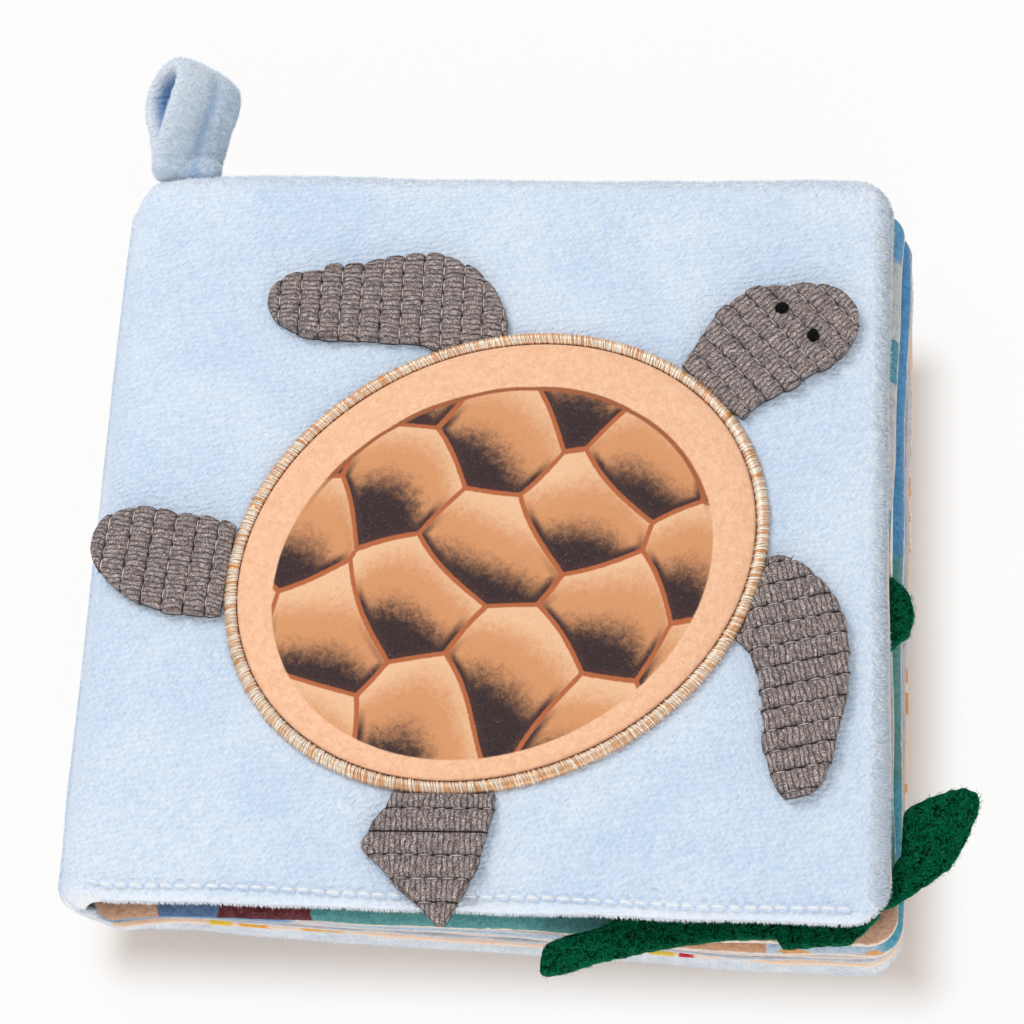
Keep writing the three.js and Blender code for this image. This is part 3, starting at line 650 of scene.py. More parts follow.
def page(colours, near, far, change):
    """Printed page paint: colours gives the print, which the grain of the velour breaks up. The
    sewn edge is near in colour on the spine's side of change, and far beyond it."""
    def paint(place, fine, tufts):
        x, y, _ = place.parts()
        sway = (grain_of(place, 38.0, 2.0, 0.5) - 0.5) * 26.0
        bits = (grain_of(place, 6.0, 2.0, 0.6) - 0.5) * 3.0
        colour = colours(x + bits, y + bits, sway, place)
        greyish = (fine * 0.5 + tufts * 0.5).rise(0.35, 0.85) * 0.09
        edge = (place.read("rim") + (tufts - 0.5) * 1.6).rise(1.2, 0.6)
        sewn = (x + bits).rise(change - 1.0, change + 1.0).mix(near, far)
        deep = colour.vector("SCALE", {"Scale": 0.72})
        colour = (fine * 0.55 + tufts * 0.45).rise(0.36, 0.58).mix(deep, colour)
        return edge.mix(greyish.mix(colour, (0.82, 0.84, 0.84, 1)), sewn)
    return paint


def blob(x, y, cx, cy, wide, tall):
    """1 inside an oval and 0 outside it."""
    u, v = (x - cx) / wide, (y - cy) / tall
    return (u * u + v * v).rise(1.04, 0.96)


def seabed(x, y, sway, place):
    """Leaf 1, front: blue water, a grey boulder by the fore-edge, teal below, and sand at the foot."""
    water = (y + sway * 0.4).rise(-50, 40).mix("#5f9a98", "#5fa3cf")
    boulder = blob(x + sway * 0.2, y, 72, 8, 46, 55)
    shade = (y + x * 0.2).rise(-45, 50).mix("#a9b0b4", "#c6cccd")
    stone = boulder.mix(water, shade)
    spots = blob(x, y, 75, 41.5, 6.5, 4.5).most(blob(x, y, 74.0, 6.0, 3.5, 4.5))
    stone = spots.mix(stone, "#4f97a8")
    weed = ((x * 0.12 + sway * 0.2).sin() * 9.0 - 56.0 - y).rise(-1.0, 1.0)
    sand = blob(x, y, -72, -76, 13, 22).most(blob(x, y, 48, -84, 14, 13)).most(blob(x, y, 80, -76, 12, 10))
    rock = blob(x, y, -50, -80, 15, 14)
    coral = blob(x, y, -39, -80, 10, 15)
    lower = rock.mix(weed.mix(stone, "#4f9192"), "#4c6c92")
    lower = coral.mix(lower, "#5a0f1c")
    return sand.mix(lower, "#bf9479")


def reef(x, y, sway, place):
    """Leaf 2, front: blue water over a teal slope, with an orange line of coral at its foot."""
    slope = (y + sway * 0.6 + x * 0.1).rise(15, 11) * (y + sway * 0.3).rise(-54, -50)
    water = slope.mix("#4f93c4", "#56908f")
    foot = (y + sway * 0.1).rise(-66.0, -71.0)
    lower = foot.mix(water, "#b4c4d4")
    lower = ((x + y * 0.3).rise(50, 54) * (y + sway * 0.2).rise(-40, -44)).mix(lower, "#4a9db3")
    line = blob(x, y, 68, -75.4, 13, 0.6)
    sand = ((x + sway * 0.3).rise(-50, -54) * y.rise(-60, -64)).most(blob(x, y, 44, -75, 9, 4))
    return sand.mix(line.mix(lower, "#e0a060"), "#cb9570")


def shoal(x, y, sway, place):
    """The pages' backs: pale water with slow bands and round bubbles."""
    bands = ((y + sway) * 0.11).sin().rise(-0.25, 0.25).mix("#8fbbe0", "#6ea5cb")
    drawn = place.vector("SCALE", {"Scale": 55.0})
    ring = place.node("TexVoronoi", {}, {"Vector": drawn, "Scale": 1.0, "Randomness": 0.8}, 0)
    bubble = ring.rise(0.20, 0.17) * ring.rise(0.10, 0.13)
    return bubble.mix(bands, "#d9ecf5")


def weeds(x, y, sway, place):
    """Leaf 2, back: maroon weed on a rose ground."""
    stems = ((x + (y * 0.12).sin() * 4.0) * 0.33).sin().rise(0.45, 0.6) * (y + sway).rise(40, 20)
    ground = (y + sway).rise(-60, 60).mix("#8a4a50", "#b9818a")
    return stems.mix(ground, "#5a1f2b")


printed = {}
for name, colours, near, far, change in (
    ("seabed", seabed, "#7aa6cd", "#e9dccd", -34),
    ("reef", reef, "#d3a37f", "#e6dad3", -54),
    ("shoal", shoal, "#8fb4d6", "#dcd8dc", -34),
    ("weeds", weeds, "#d9b094", "#e6dad3", -54),
):
    printed[name] = cloth_finish("page_" + name, page(colours, near, far, change),
                                 nap=4.0, nap_size=0.45, sheen=0.12)

for leaf, seam, bow, front, back_page, seed in (
    ("leaf_2", 12.1, ((-75, -64, -25, 33, 60, 75), (-0.3, 0.3, -0.6, 0.1, 1.0, 1.2)),
     ("reef", "page_blue"), ("weeds", "page_maroon"), 11.0),
    ("leaf_1", 19.0, ((-75, -66, -47, -27, 1, 30, 56, 75), (-1.2, -1.4, -2.2, -2.3, -3.0, -2.1, -1.3, -0.4)),
     ("seabed", "page_teal"), ("shoal", "page_blue"), 17.0),
):
    stuffing(leaf + "_stuffing", LEAF, LEAF_LEFT, seam - 1.9, seam + 2.1, 2.6, leaf, leaf + "_wadding")
    film_sheet(leaf + "_crackle", LEAF, LEAF_LEFT, seam - 2.3, 13.0, leaf, leaf + "_film", seed)
    for side, name, (print_name, slot), start in (
        (1, leaf + "_front", front, seam + 0.05),
        (-1, leaf + "_back", back_page, seam - 0.05),
    ):
        sheet = lining_cloth(name + "_page", LEAF, 3.45, start, side, LEAF_LEFT, 0.0, 0.0, seed + side)
        thicken(sheet, 0.7)
        bowed(sheet, *bow)
        finish_off(sheet, leaf, [name], printed[print_name], slot)

# Binding fold: the inner edges of the leaves, caught in a roll of lining cloth that is sewn
# through on the spine's middle line. The whole book hinges on it.

FOLD_AT = (-72.95, 15.55)
FOLD_RADIUS = 2.7
fold = primitive("binding_roll", bpy.ops.mesh.primitive_cylinder_add, vertices=32, radius=FOLD_RADIUS,
                 depth=147, location=(FOLD_AT[0], 0, FOLD_AT[1]), rotation=(math.pi / 2, 0, 0),
                 end_fill_type="TRIFAN")
bpy.ops.object.transform_apply(location=True, rotation=True, scale=True)
on_whole_mesh(fold, bpy.ops.mesh.subdivide, number_cuts=1)
for cut in range(-69, 70, 3):
    on_whole_mesh(fold, bpy.ops.mesh.bisect, plane_co=(0, cut, 0), plane_no=(0, 1, 0))
at = points_of(fold)
ray = at[:, [0, 2]] - np.array(FOLD_AT)
length = np.maximum(np.hypot(*ray.T), 1e-6)
size = np.minimum(length, FOLD_RADIUS) * (1 - 0.10 * np.cos(at[:, 1] * 2 * math.pi / 6) ** 2)
size = size * (1 - 0.5 * smoothstep(np.abs(at[:, 1]), 72.0, 73.5))
at[:, [0, 2]] = np.array(FOLD_AT) + ray / length[:, None] * size[:, None]
move(fold, at)
finish_off(fold, "back_cover", ["binding_fold"], velour_lining, "lining")

# Spine: the covers' plush runs on round the back of the book. The upper part belongs to the front
# cover and the lower part to the back cover, and this is the strip between, over the leaves.


def dimples(place, tufts):
    """The uneven rows in which the pile stands, from -1 in the hollows to 1."""
    x, y, _ = place.parts()
    sway = (grain_of(place, 5.0, 2.0, 0.6) - 0.5) * 3.0
    rows = ((y - x * 0.16 + sway + (tufts - 0.5) * 1.3) * (2 * math.pi / 1.2)).sin()
    cross = ((x + y * 0.45 - sway + (tufts - 0.5) * 1.6) * (2 * math.pi / 1.35)).sin()
    return (rows * 0.6 + cross * 0.4) * (tufts.rise(0.2, 0.7) * 0.6 + 0.4)


def strokes(place):
    """Strands of pile that all lean one way, about two millimetres long."""
    x, y, z = place.parts()
    laid = place.node("CombineXYZ", {}, {
        "X": (x * 0.8 - y * 0.6) * 2.6, "Y": (x * 0.6 + y * 0.8) * 0.55, "Z": z * 1.5})
    return place.node("TexNoise", {}, {"Vector": laid, "Scale": 1.0, "Detail": 2.0, "Roughness": 0.6})


STITCH_LINE = -71.3
STITCH_SLOPE = 0.005
STITCH_WAVE = 0.25
STITCH_WAVE_LENGTH = 9.0
STITCH_STEP = 2.8


def plush_paint(place, fine, tufts):
    """Light blue plush, with painted shade in its hollows, a painted sheen that makes it paler where it
    turns over at the rim, and painted shade in dimples between the topstitches."""
    broad = grain_of(place, 20.0, 2.0, 0.5).rise(0.3, 0.7)
    # The tone wanders at random and along the strokes, and is darker in the dimples' hollows: painted shade.
    blend = broad * 0.25 + (dimples(place, tufts) * 0.5 + 0.5) * 0.35 + strokes(place).rise(0.3, 0.7) * 0.4
    colour = blend.mix("#b9d2f0", "#eef5fd")
    rim = place.read("rim")
    # Paler near the rim, where the cloth turns over: a painted sheen.
    pale = ((rim + (tufts - 0.5) * 3.0).rise(8.0, 1.5) * 0.75).mix(colour, "#fafcff")
    x, y, _ = place.parts()
    # Darker blue at the ends of the topstitches: painted shade in the dimples that they pull in.
    ends = ((x + 72.15) * (2 * math.pi / STITCH_STEP)).sin().rise(0.6, 1.0) * x.rise(-72.5, -71.5)
    off_row = y - STITCH_LINE + x * STITCH_SLOPE - (x / STITCH_WAVE_LENGTH).sin() * STITCH_WAVE
    dimple_shaded = (ends * off_row.abs().rise(0.65, 0.2) * 0.4).mix(pale, "#95bbea")
    # Where a piece marks fold, the plush is darker there: painted shade.
    return place.read("fold").mix(dimple_shaded, "#a9caee")


plush_front = cloth_finish("plush_front", plush_paint, nap=4.5, nap_size=0.42,
                           stretch=(1.0, 0.7, 1), sheen=0.45, rows=dimples)


SPINE_OVERLAP = 0.45


def spine_strip(name, first, last):
    """A strip of the spine, by its lengths round the section from the upper flat. It lies a little
    outside the covers' cloth, whose ends it overlaps."""
    rows = steps(COVER["foot"] - 2.3, COVER["head"] + 2.3, 0.6, 1.5, 9, 9)
    columns = np.linspace(-last, -first, 14)
    piece = cloth_grid(name, columns, rows)
    at = points_of(piece)
    x, z, out_x, out_z, _ = spine_place(-at[:, 0])
    at[:, 0] = 0
    move(piece, at)
    settle(piece, COVER, 4.9, 0, 1, None, 0.3, 0.2, 2.0)
    at = points_of(piece)
    sunk = 4.9 - SPINE_OVERLAP - at[:, 2]
    move(piece, np.stack([x - out_x * sunk, at[:, 1], z - out_z * sunk], 1))
    return piece


UPPER_REACH, LOWER_REACH = 24.0, SPINE_LENGTH - 24.0
spine_plush = spine_strip("spine_plush", UPPER_REACH - 0.02, LOWER_REACH + 0.02)
thicken(spine_plush, 1.6)
finish_off(spine_plush, None, ["spine_outer"], plush_front, "plush_blue")
upper_x, upper_z = (float(v[0]) for v in spine_place(np.array([UPPER_REACH]))[:2])
lower_z = float(spine_place(np.array([LOWER_REACH]))[1][0])
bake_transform(spine_plush)

# Front cover: the same make as the back one. Its plush is turned in at the rim and topstitched
# along the foot, and the lining shows as a thin peach line at the fore-edge.


def stitch_line(x):
    """The topstitch comes a little nearer to the foot towards the fore-edge."""
    return STITCH_LINE - STITCH_SLOPE * x + STITCH_WAVE * np.sin(x / STITCH_WAVE_LENGTH)


stuffing("front_wadding", COVER, -70.5, 27.6, 30.0, 4.0, "front_cover", "front_cover_wadding")
film_sheet("front_film", COVER, -70.5, 27.2, 18.0, "front_cover", "front_cover_film", 23.0)
front_plush = cover_plush("front_plush", COVER, 4.9, 27.7, 1, UPPER_REACH, 0.5, 2.0)
at = points_of(front_plush)
x, y, z = at.T
groove = np.exp(-((y - stitch_line(x)) / 0.8) ** 2)
z -= 0.7 * groove * smoothstep(z, 30.0, 31.5)
tuck = 0.2 + 3.2 * smoothstep(x, -74.0, -60.0)
y += tuck * (1 - smoothstep(z, 27.6, 31.0)) * smoothstep(-y, 60.0, 75.0)
move(front_plush, at)
COVER_BOW = ((-75, -65, -31, -3, 25, 68), (0.0, 0.0, -0.2, -0.9, -0.9, -0.2))
bowed(front_plush, *COVER_BOW)
thicken(front_plush, 1.6)
finish_off(front_plush, None, ["front_cover_outer"], plush_front, "plush_blue")
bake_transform(front_plush)
front_lining = lining_cloth("front_lining", COVER, 1.1, 27.5, -1, -71.3, 0.6, 3.4, 29.0)
bowed(front_lining, *COVER_BOW)
thicken(front_lining, 0.8)
finish_off(front_lining, "front_cover", ["front_cover_lining"], velour_lining, "lining")

# Turtle shell: an oval of printed velour over a thin pad, laid aslant on the cover. The print is
# a plain arrangement of scutes, airbrushed from tan to brown, inside a bare peach rim.

SHELL_AT = np.array([1.2, -5.9])
SHELL_HALF = np.array([52.0, 43.2])
SHELL_SLANT = math.radians(30.2)
COVER_TOP = 32.5
BORDER_HALF = 1.6
SHELL_TURN = np.array([[math.cos(SHELL_SLANT), math.sin(SHELL_SLANT)],
                       [-math.sin(SHELL_SLANT), math.cos(SHELL_SLANT)]])


def oval(share, offset):
    """Places on the shell's outline, moved out by some offset, and the way out there."""
    turn = np.asarray(share, float) * 2 * math.pi
    out = np.stack([np.cos(turn) / SHELL_HALF[0], np.sin(turn) / SHELL_HALF[1]], -1)
    out /= np.linalg.norm(out, axis=-1, keepdims=True)
    at = np.stack([np.cos(turn) * SHELL_HALF[0], np.sin(turn) * SHELL_HALF[1]], -1)
    return (at + out * np.asarray(offset)[..., None]) @ SHELL_TURN + SHELL_AT, out @ SHELL_TURN


def disc(name, count, half, lift):
    """An oval cloth on the shell's place; lift gives its height from its share of the way out."""
    ticks = np.linspace(-1, 1, count)
    piece = cloth_grid(name, ticks, ticks)
    at = points_of(piece)
    square = np.maximum(np.abs(at[:, 0]), np.abs(at[:, 1]))
    far = np.maximum(np.hypot(at[:, 0], at[:, 1]), 1e-9)
    blend = square ** 1.2
    scale = 1 - blend + blend * square / far
    own = at[:, :2] * scale[:, None]
    out = np.hypot(own[:, 0], own[:, 1])
    own = own * np.where(out > 1, 1 / out, 1)[:, None]
    out = np.minimum(out, 1)
    spread = own * half
    place = spread @ SHELL_TURN + SHELL_AT
    move(piece, np.concatenate([place, lift(out, spread)[:, None]], 1))
    return piece, spread, out


PAD_TOP = 2.4
shell_pad, _, _ = disc("shell_pad", 40, SHELL_HALF - 3.2,
                       lambda out, own: COVER_TOP + 0.6 + PAD_TOP * np.sqrt(1 - np.minimum(out, 1) ** 6))
count = len(shell_pad.data.vertices)
thicken(shell_pad, 0.3)
at = points_of(shell_pad)
at[count:2 * count, 2] = COVER_TOP + 0.35
move(shell_pad, at)
finish_off(shell_pad, "front_cover", ["shell_padding"], wadding, "wadding")

SCUTES = np.array([
    (-35, 2.0), (-17.5, -1.5), (0.5, 1.5), (18.5, -1.0), (35.5, 1.0),
    (-31, 25.0), (-10, 21.5), (11.5, 22.5), (31, 23.0),
    (-29.5, -22.5), (-8.5, -23.5), (13, -20.5), (32, -22.0),
    (1, 41), (2, -41), (-22, 38), (24, -39), (50, 14), (-50, -10), (-52, 14), (51, -12)], float)
PRINT_HALF = np.array([43.0, 35.5])
PRINT_SHIFT = np.array([-2.0, -2.5])


def scute_print(own):
    """How far each place on the print is from a seam, and how deep it lies in a scute's shade."""
    bend = np.stack([1.6 * np.sin(own[:, 1] / 7.0 + 1.0), 1.6 * np.sin(own[:, 0] / 8.0)], 1)
    near = np.linalg.norm((own + bend)[:, None, :] - SCUTES[None], axis=2)
    order = np.argsort(near, axis=1)[:, :2]
    first = np.take_along_axis(near, order[:, :1], 1)[:, 0]
    second = np.take_along_axis(near, order[:, 1:2], 1)[:, 0]
    gap = np.linalg.norm(SCUTES[order[:, 0]] - SCUTES[order[:, 1]], axis=1)
    seam = (second ** 2 - first ** 2) / (2 * gap)
    local = own + bend - SCUTES[order[:, 0]]
    down = SHELL_TURN @ np.array([-0.35, -0.94])
    side = np.array([-down[1], down[0]])
    fall, across = local @ down, local @ side
    ripple = 1.1 * np.sin(order[:, 0] * 2.3 + across / 4.2)
    shade = fall - 0.035 * across ** 2 + ripple
    return seam, shade


def shell_lift(out, own):
    """The printed cloth's height: domed over the pad and quilted along the print's seams."""
    dome = np.sqrt(1 - np.minimum(out, 1) ** 5) * PAD_TOP
    seam, _ = scute_print(own)
    pillow = 0.35 * smoothstep(seam, 0, 4) * smoothstep(1 - out, 0.1, 0.25)
    return COVER_TOP + 1.05 + dome + pillow + 0.1 * np.sin(own[:, 0] / 6) * np.cos(own[:, 1] / 7)


shell_cloth, own, out = disc("shell_cloth", 250, SHELL_HALF - 1.3, shell_lift)
seam, shade = scute_print(own)
mark(shell_cloth, "seam", seam)
mark(shell_cloth, "shade", shade)
mark(shell_cloth, "print", np.hypot(*((own - PRINT_SHIFT) / PRINT_HALF).T))


def shell_paint(place, fine, tufts):
    """Scutes shaded from tan to brown, with dark edges and brown seams, inside a bare rim."""
    seam, shade, extent = (place.read(name) for name in ("seam", "shade", "print"))
    speck = (fine - 0.5) * 5.0 + (tufts - 0.5) * 5.0
    deep = (shade + speck).rise(-1.5, 6.5)
    lit = (shade + speck).rise(-3.0, -11.0)
    tan = lit.mix("#dc9a6a", "#f4c49b")
    scute = deep.mix(tan, "#3a2a2c")
    rim_dark = (seam + speck * 0.15).rise(2.2, 0.8) * shade.rise(-6.0, 1.0)
    scute = rim_dark.mix(scute, "#46302f")
    line = (seam + speck * 0.05).rise(0.62, 0.30)
    drawn = line.mix(scute, "#b9683f")
    rim_line = ((extent - 0.985).abs() + speck * 0.0008).rise(0.016, 0.006) * place.parts()[1].rise(0, 12)
    inked = rim_line.mix(drawn, "#a5603c")
    peach = (fine * 0.5 + tufts * 0.5).rise(0.3, 0.7).mix("#f0b68f", "#ffcfab")
    greyish = (fine.rise(0.55, 0.8) * 0.16).mix(inked, (0.75, 0.68, 0.62, 1))
    return (extent + speck * 0.0006).rise(0.994, 1.004).mix(greyish, peach)


shell_print = cloth_finish("shell_print", shell_paint, nap=3.2, nap_size=0.42, sheen=0.25,
                           sheen_tint=(1.0, 0.9, 0.8, 1))
thicken(shell_cloth, 0.5)
finish_off(shell_cloth, "front_cover", ["shell_patch"], shell_print, "shell_print")

# Shell border: gold satin stitches laid side by side across a cord, all the way round the oval.
# They sew the printed oval and the inner ends of the flaps to the cover.


def thread_finish(name, low, high, rough=0.42, sheen=0.1, twist=0.16, shine=0.6, metal=0.0):
    """Shiny embroidery thread: each stitch has its own tint, and fine strands run along it."""
    made, place = material(name)
    fine = grain_of(place, 0.3, 2.0, 0.6)
    strands = (place.read("around") * 9.0 + fine * 3.0).sin() * 0.5 + 0.5
    (place.read("tint") * 0.8 + strands * 0.2).rise(0.1, 0.9).mix(low, high).show({
        "Roughness": strands * -0.1 + rough, "Sheen Weight": sheen, "Specular IOR Level": shine,
        "Metallic": metal, "Normal": strands.bump(0.6, twist * 0.0005)})
    return made


gold_thread = thread_finish("gold_thread", "#e09a55", "#fff8e8", 0.34, 0.0, 0.10, 0.8, 0.3)


def mesh_piece(name, verts, faces):
    """A piece with these vertices, in millimetres, and faces."""
    mesh = bpy.data.meshes.new(name)
    mesh.from_pydata(verts.tolist(), [], faces)
    piece = bpy.data.objects.new(name, mesh)
    bpy.context.scene.collection.objects.link(piece)
    return piece


def thread_mesh(name, paths, radii, tints, flat=1.0, sides=5):
    """One mesh of many threads: each path is a row of points, thin at its ends."""
    count, length, _ = paths.shape
    ahead = np.gradient(paths, axis=1)
    ahead /= np.maximum(np.linalg.norm(ahead, axis=2, keepdims=True), 1e-9)
    side = np.cross(ahead, np.array([0.03, 0.05, 1.0]))
    side /= np.maximum(np.linalg.norm(side, axis=2, keepdims=True), 1e-9)
    lift = np.cross(side, ahead)
    turn = np.arange(sides) / sides * 2 * math.pi
    wide = radii[:, :, None, None]
    ring = (paths[:, :, None, :] + wide * np.cos(turn)[None, None, :, None] * side[:, :, None, :]
            + wide * flat * np.sin(turn)[None, None, :, None] * lift[:, :, None, :])
    base = (np.arange(count) * length * sides)[:, None, None]
    row = (np.arange(length - 1) * sides)[None, :, None]
    a = base + row + np.arange(sides)[None, None, :]
    b = base + row + ((np.arange(sides) + 1) % sides)[None, None, :]
    quads = np.stack([a, b, b + sides, a + sides], -1).reshape(-1, 4)
    near = base[:, 0] + np.arange(sides)[None, ::-1]
    far = base[:, 0] + (length - 1) * sides + np.arange(sides)[None, :]
    piece = mesh_piece(name, ring.reshape(-1, 3), quads.tolist() + near.tolist() + far.tolist())
    mark(piece, "tint", np.repeat(tints, length * sides))
    mark(piece, "around", np.tile(turn, count * length))
    return piece


chance = np.random.default_rng(7)
STITCHES = 700
share = (np.arange(STITCHES) + chance.normal(0, 0.18, STITCHES)) / STITCHES
arc = np.linspace(-1, 1, 9)[None, :]
reach = 1.28 * (1 + chance.normal(0, 0.07, (STITCHES, 1)))
slip = (chance.normal(0, 0.0004, (STITCHES, 1)) + 0.0008) * arc
middle, way = oval(share[:, None] + slip, arc * reach)
height = COVER_TOP + 0.3 + (1.35 + chance.normal(0, 0.08, (STITCHES, 1))) * np.sqrt(1.02 - arc ** 2)
paths = np.concatenate([middle, height[..., None]], 2)
radii = np.repeat(0.21 * (1 - 0.35 * np.abs(np.linspace(-1, 1, 9))[None, :] ** 4), STITCHES, 0)
border = thread_mesh("border_stitches", paths, radii, np.zeros(STITCHES))
# Each stitch's tint is random, raised on the inner side of its top for a painted highlight and lowered
# elsewhere for painted shade.
lit = chance.normal(0.64, 0.24, (STITCHES, 1)) + 0.32 * np.exp(-((arc + 0.4) / 0.4) ** 2) - 0.12
mark(border, "tint", np.repeat(lit.reshape(-1), 5))
finish_off(border, "front_cover", ["shell_border"], gold_thread, "gold_thread")
cord = primitive("border_cord", bpy.ops.mesh.primitive_torus_add, major_segments=160,
                 minor_segments=14, major_radius=1, minor_radius=0.2)
at = points_of(cord)
round_it = np.arctan2(at[:, 1], at[:, 0]) / (2 * math.pi)
off = (np.hypot(at[:, 0], at[:, 1]) - 1) / 0.2
middle, _ = oval(round_it, off * 1.1)
move(cord, np.concatenate([middle, (COVER_TOP + 0.85 + at[:, 2] / 0.2 * 0.75)[:, None]], 1))
# The cord is tinted darker than the stitches: painted shade where it shows between them.
mark(cord, "tint", np.full(len(at), 0.2))
mark(cord, "around", at[:, 2] * 10)
finish_off(cord, "front_cover", [], gold_thread, "gold_thread")

# Ribbed flaps, the turtle's head and four flippers: knitted ribs quilted on a thin felt back with
# rows of stitches, cut to shape and caught under the border by their inner ends.


def knit_finish():
    """Ribbed knitting: courses run across each rib, with painted shade in the cracks between them, in the
    valleys between the ribs and low on the flap's sides.
    """
    made, place = material("knit_grey")
    speck = grain_of(place, 0.26, 2.0, 0.7)
    loops = grain_of(place, 0.6, 2.0, 0.6, (1, 1, 1), 1.2)
    sway = grain_of(place, 2.4, 2.0, 0.5)
    course = ((place.read("run") + sway * 1.5 + loops * 0.25) * (2 * math.pi / 0.98)).sin()
    crack = course.rise(0.25, 0.95) * loops.rise(0.42, 0.56)
    yarn = (speck * 0.55 + loops * 0.45).rise(0.36, 0.64)
    wool = yarn.mix("#6d5c58", "#e8d8d4")
    wool = (grain_of(place, 1.3, 2.0, 0.6).rise(0.56, 0.36) * 0.45).mix(wool, "#4b3e3c")
    wool = (speck.rise(0.6, 0.72) * 0.5).mix(wool, "#efe2dd")
    # Dark in the cracks between the courses: painted shade.
    wool = (crack * 0.85).mix(wool, "#2c2323")
    # Darker in the valleys between the ribs: painted shade.
    wool = place.read("valley").rise(0.28, 0.04).mix(wool, "#453937")
    height = yarn * 0.5 + crack * -0.9 + loops * 0.3
    # Dark low on the flap's sides, next to the cover: painted shade.
    place.read("edge").rise(0.5, 0.9).mix(wool, "#241d1e").show({
        "Roughness": speck * 0.1 + 0.85, "Sheen Weight": 0.12, "Specular IOR Level": 0.2,
        "Normal": height.bump(1.0, 0.0004)})
    return made


knit_grey = knit_finish()
white_thread = thread_finish("white_thread", "#e6d3cb", "#fff5ef", 0.5)
pale_thread = thread_finish("pale_thread", "#fbfcfe", "#ffffff", 0.5)
yarn_ends = thread_finish("yarn_ends", "#2e2625", "#6e605d", 0.9, 0.1, 0.16, 0.15)


def smoothed(outline):
    """Rounds an outline by cutting its corners twice, but for the two where the flap is sewn in."""
    for _ in range(2):
        after = outline[1:]
        cut = np.stack([outline[:-1] * 0.75 + after * 0.25, outline[:-1] * 0.25 + after * 0.75], 1)
        outline = np.concatenate([outline[:1], cut.reshape(-1, 2)[1:-1], outline[-1:]])
    return outline


def from_outline(at, outline):
    """The distance of each point from an outline's nearest side."""
    a, b = outline, np.roll(outline, -1, 0)
    line = b - a
    t = ((at[:, None, :] - a) * line).sum(2) / (line ** 2).sum(1)
    foot = a + np.clip(t, 0, 1)[..., None] * line
    return np.linalg.norm(at[:, None, :] - foot, axis=2).min(1)


def flap_stitches(name, node, valleys, across, along, ends_on, on_cover):
    """Rows of white stitches that lie in the valleys between the ribs."""
    stitches = []
    for valley in valleys:
        start, stop = ends_on(valley)
        for s in np.arange(start + 0.5, stop - 1.4, 2.9):
            t = np.linspace(s, min(s + 2.5 + chance.normal(0, 0.2), stop - 0.3), 5)
            spot = valley * across + t[:, None] * along + chance.normal(0, 0.04, 2)
            pressed = 0.55 + 0.45 * smoothstep(spot[:, 0], -1.0, 1.6)
            sunk = chance.choice([0.0, 0.25], p=[0.7, 0.3])
            rise = COVER_TOP + 0.24 - sunk + 1.3 * pressed + 0.3 * np.sin(np.linspace(0, math.pi, 5))
            stitches.append(np.concatenate([on_cover(spot), rise[:, None]], 1))
    radii = np.tile([0.07, 0.125, 0.135, 0.125, 0.07], (len(stitches), 1))
    rows = thread_mesh(name, np.array(stitches), radii, chance.random(len(stitches)))
    finish_off(rows, node, [], white_thread, "knit_grey")


def flap_yarn_ends(name, node, valleys, across, along, ends_on, on_cover, clear_of_border):
    """Cut ends of yarn that stand out where the valleys end, but not under the border."""
    yarns = []
    for valley in valleys:
        for end, way in zip(ends_on(valley), (-1, 1)):
            for _ in range(5):
                t = end + way * np.linspace(-0.3, chance.uniform(0.1, 0.5), 4)
                lean = chance.normal(0, 0.35) * np.linspace(0, 1, 4) + chance.normal(0, 0.2)
                spot = (valley + lean)[:, None] * across + t[:, None] * along
                rise = COVER_TOP + chance.uniform(0.5, 1.3) + np.linspace(0, chance.normal(0, 0.3), 4)
                yarns.append(np.concatenate([on_cover(spot), rise[:, None]], 1))
    yarns = np.array(yarns)
    yarns = yarns[clear_of_border(yarns)]
    fray = thread_mesh(name, yarns, np.tile([0.07, 0.07, 0.05, 0.02], (len(yarns), 1)),
                       chance.random(len(yarns)), 1.0, 4)
    finish_off(fray, node, [], yarn_ends, "knit_grey")


RIB_PLACES = (0, 0.03, 0.07, 0.13, 0.22, 0.36, 0.5, 0.64, 0.78, 0.87, 0.93, 0.97)


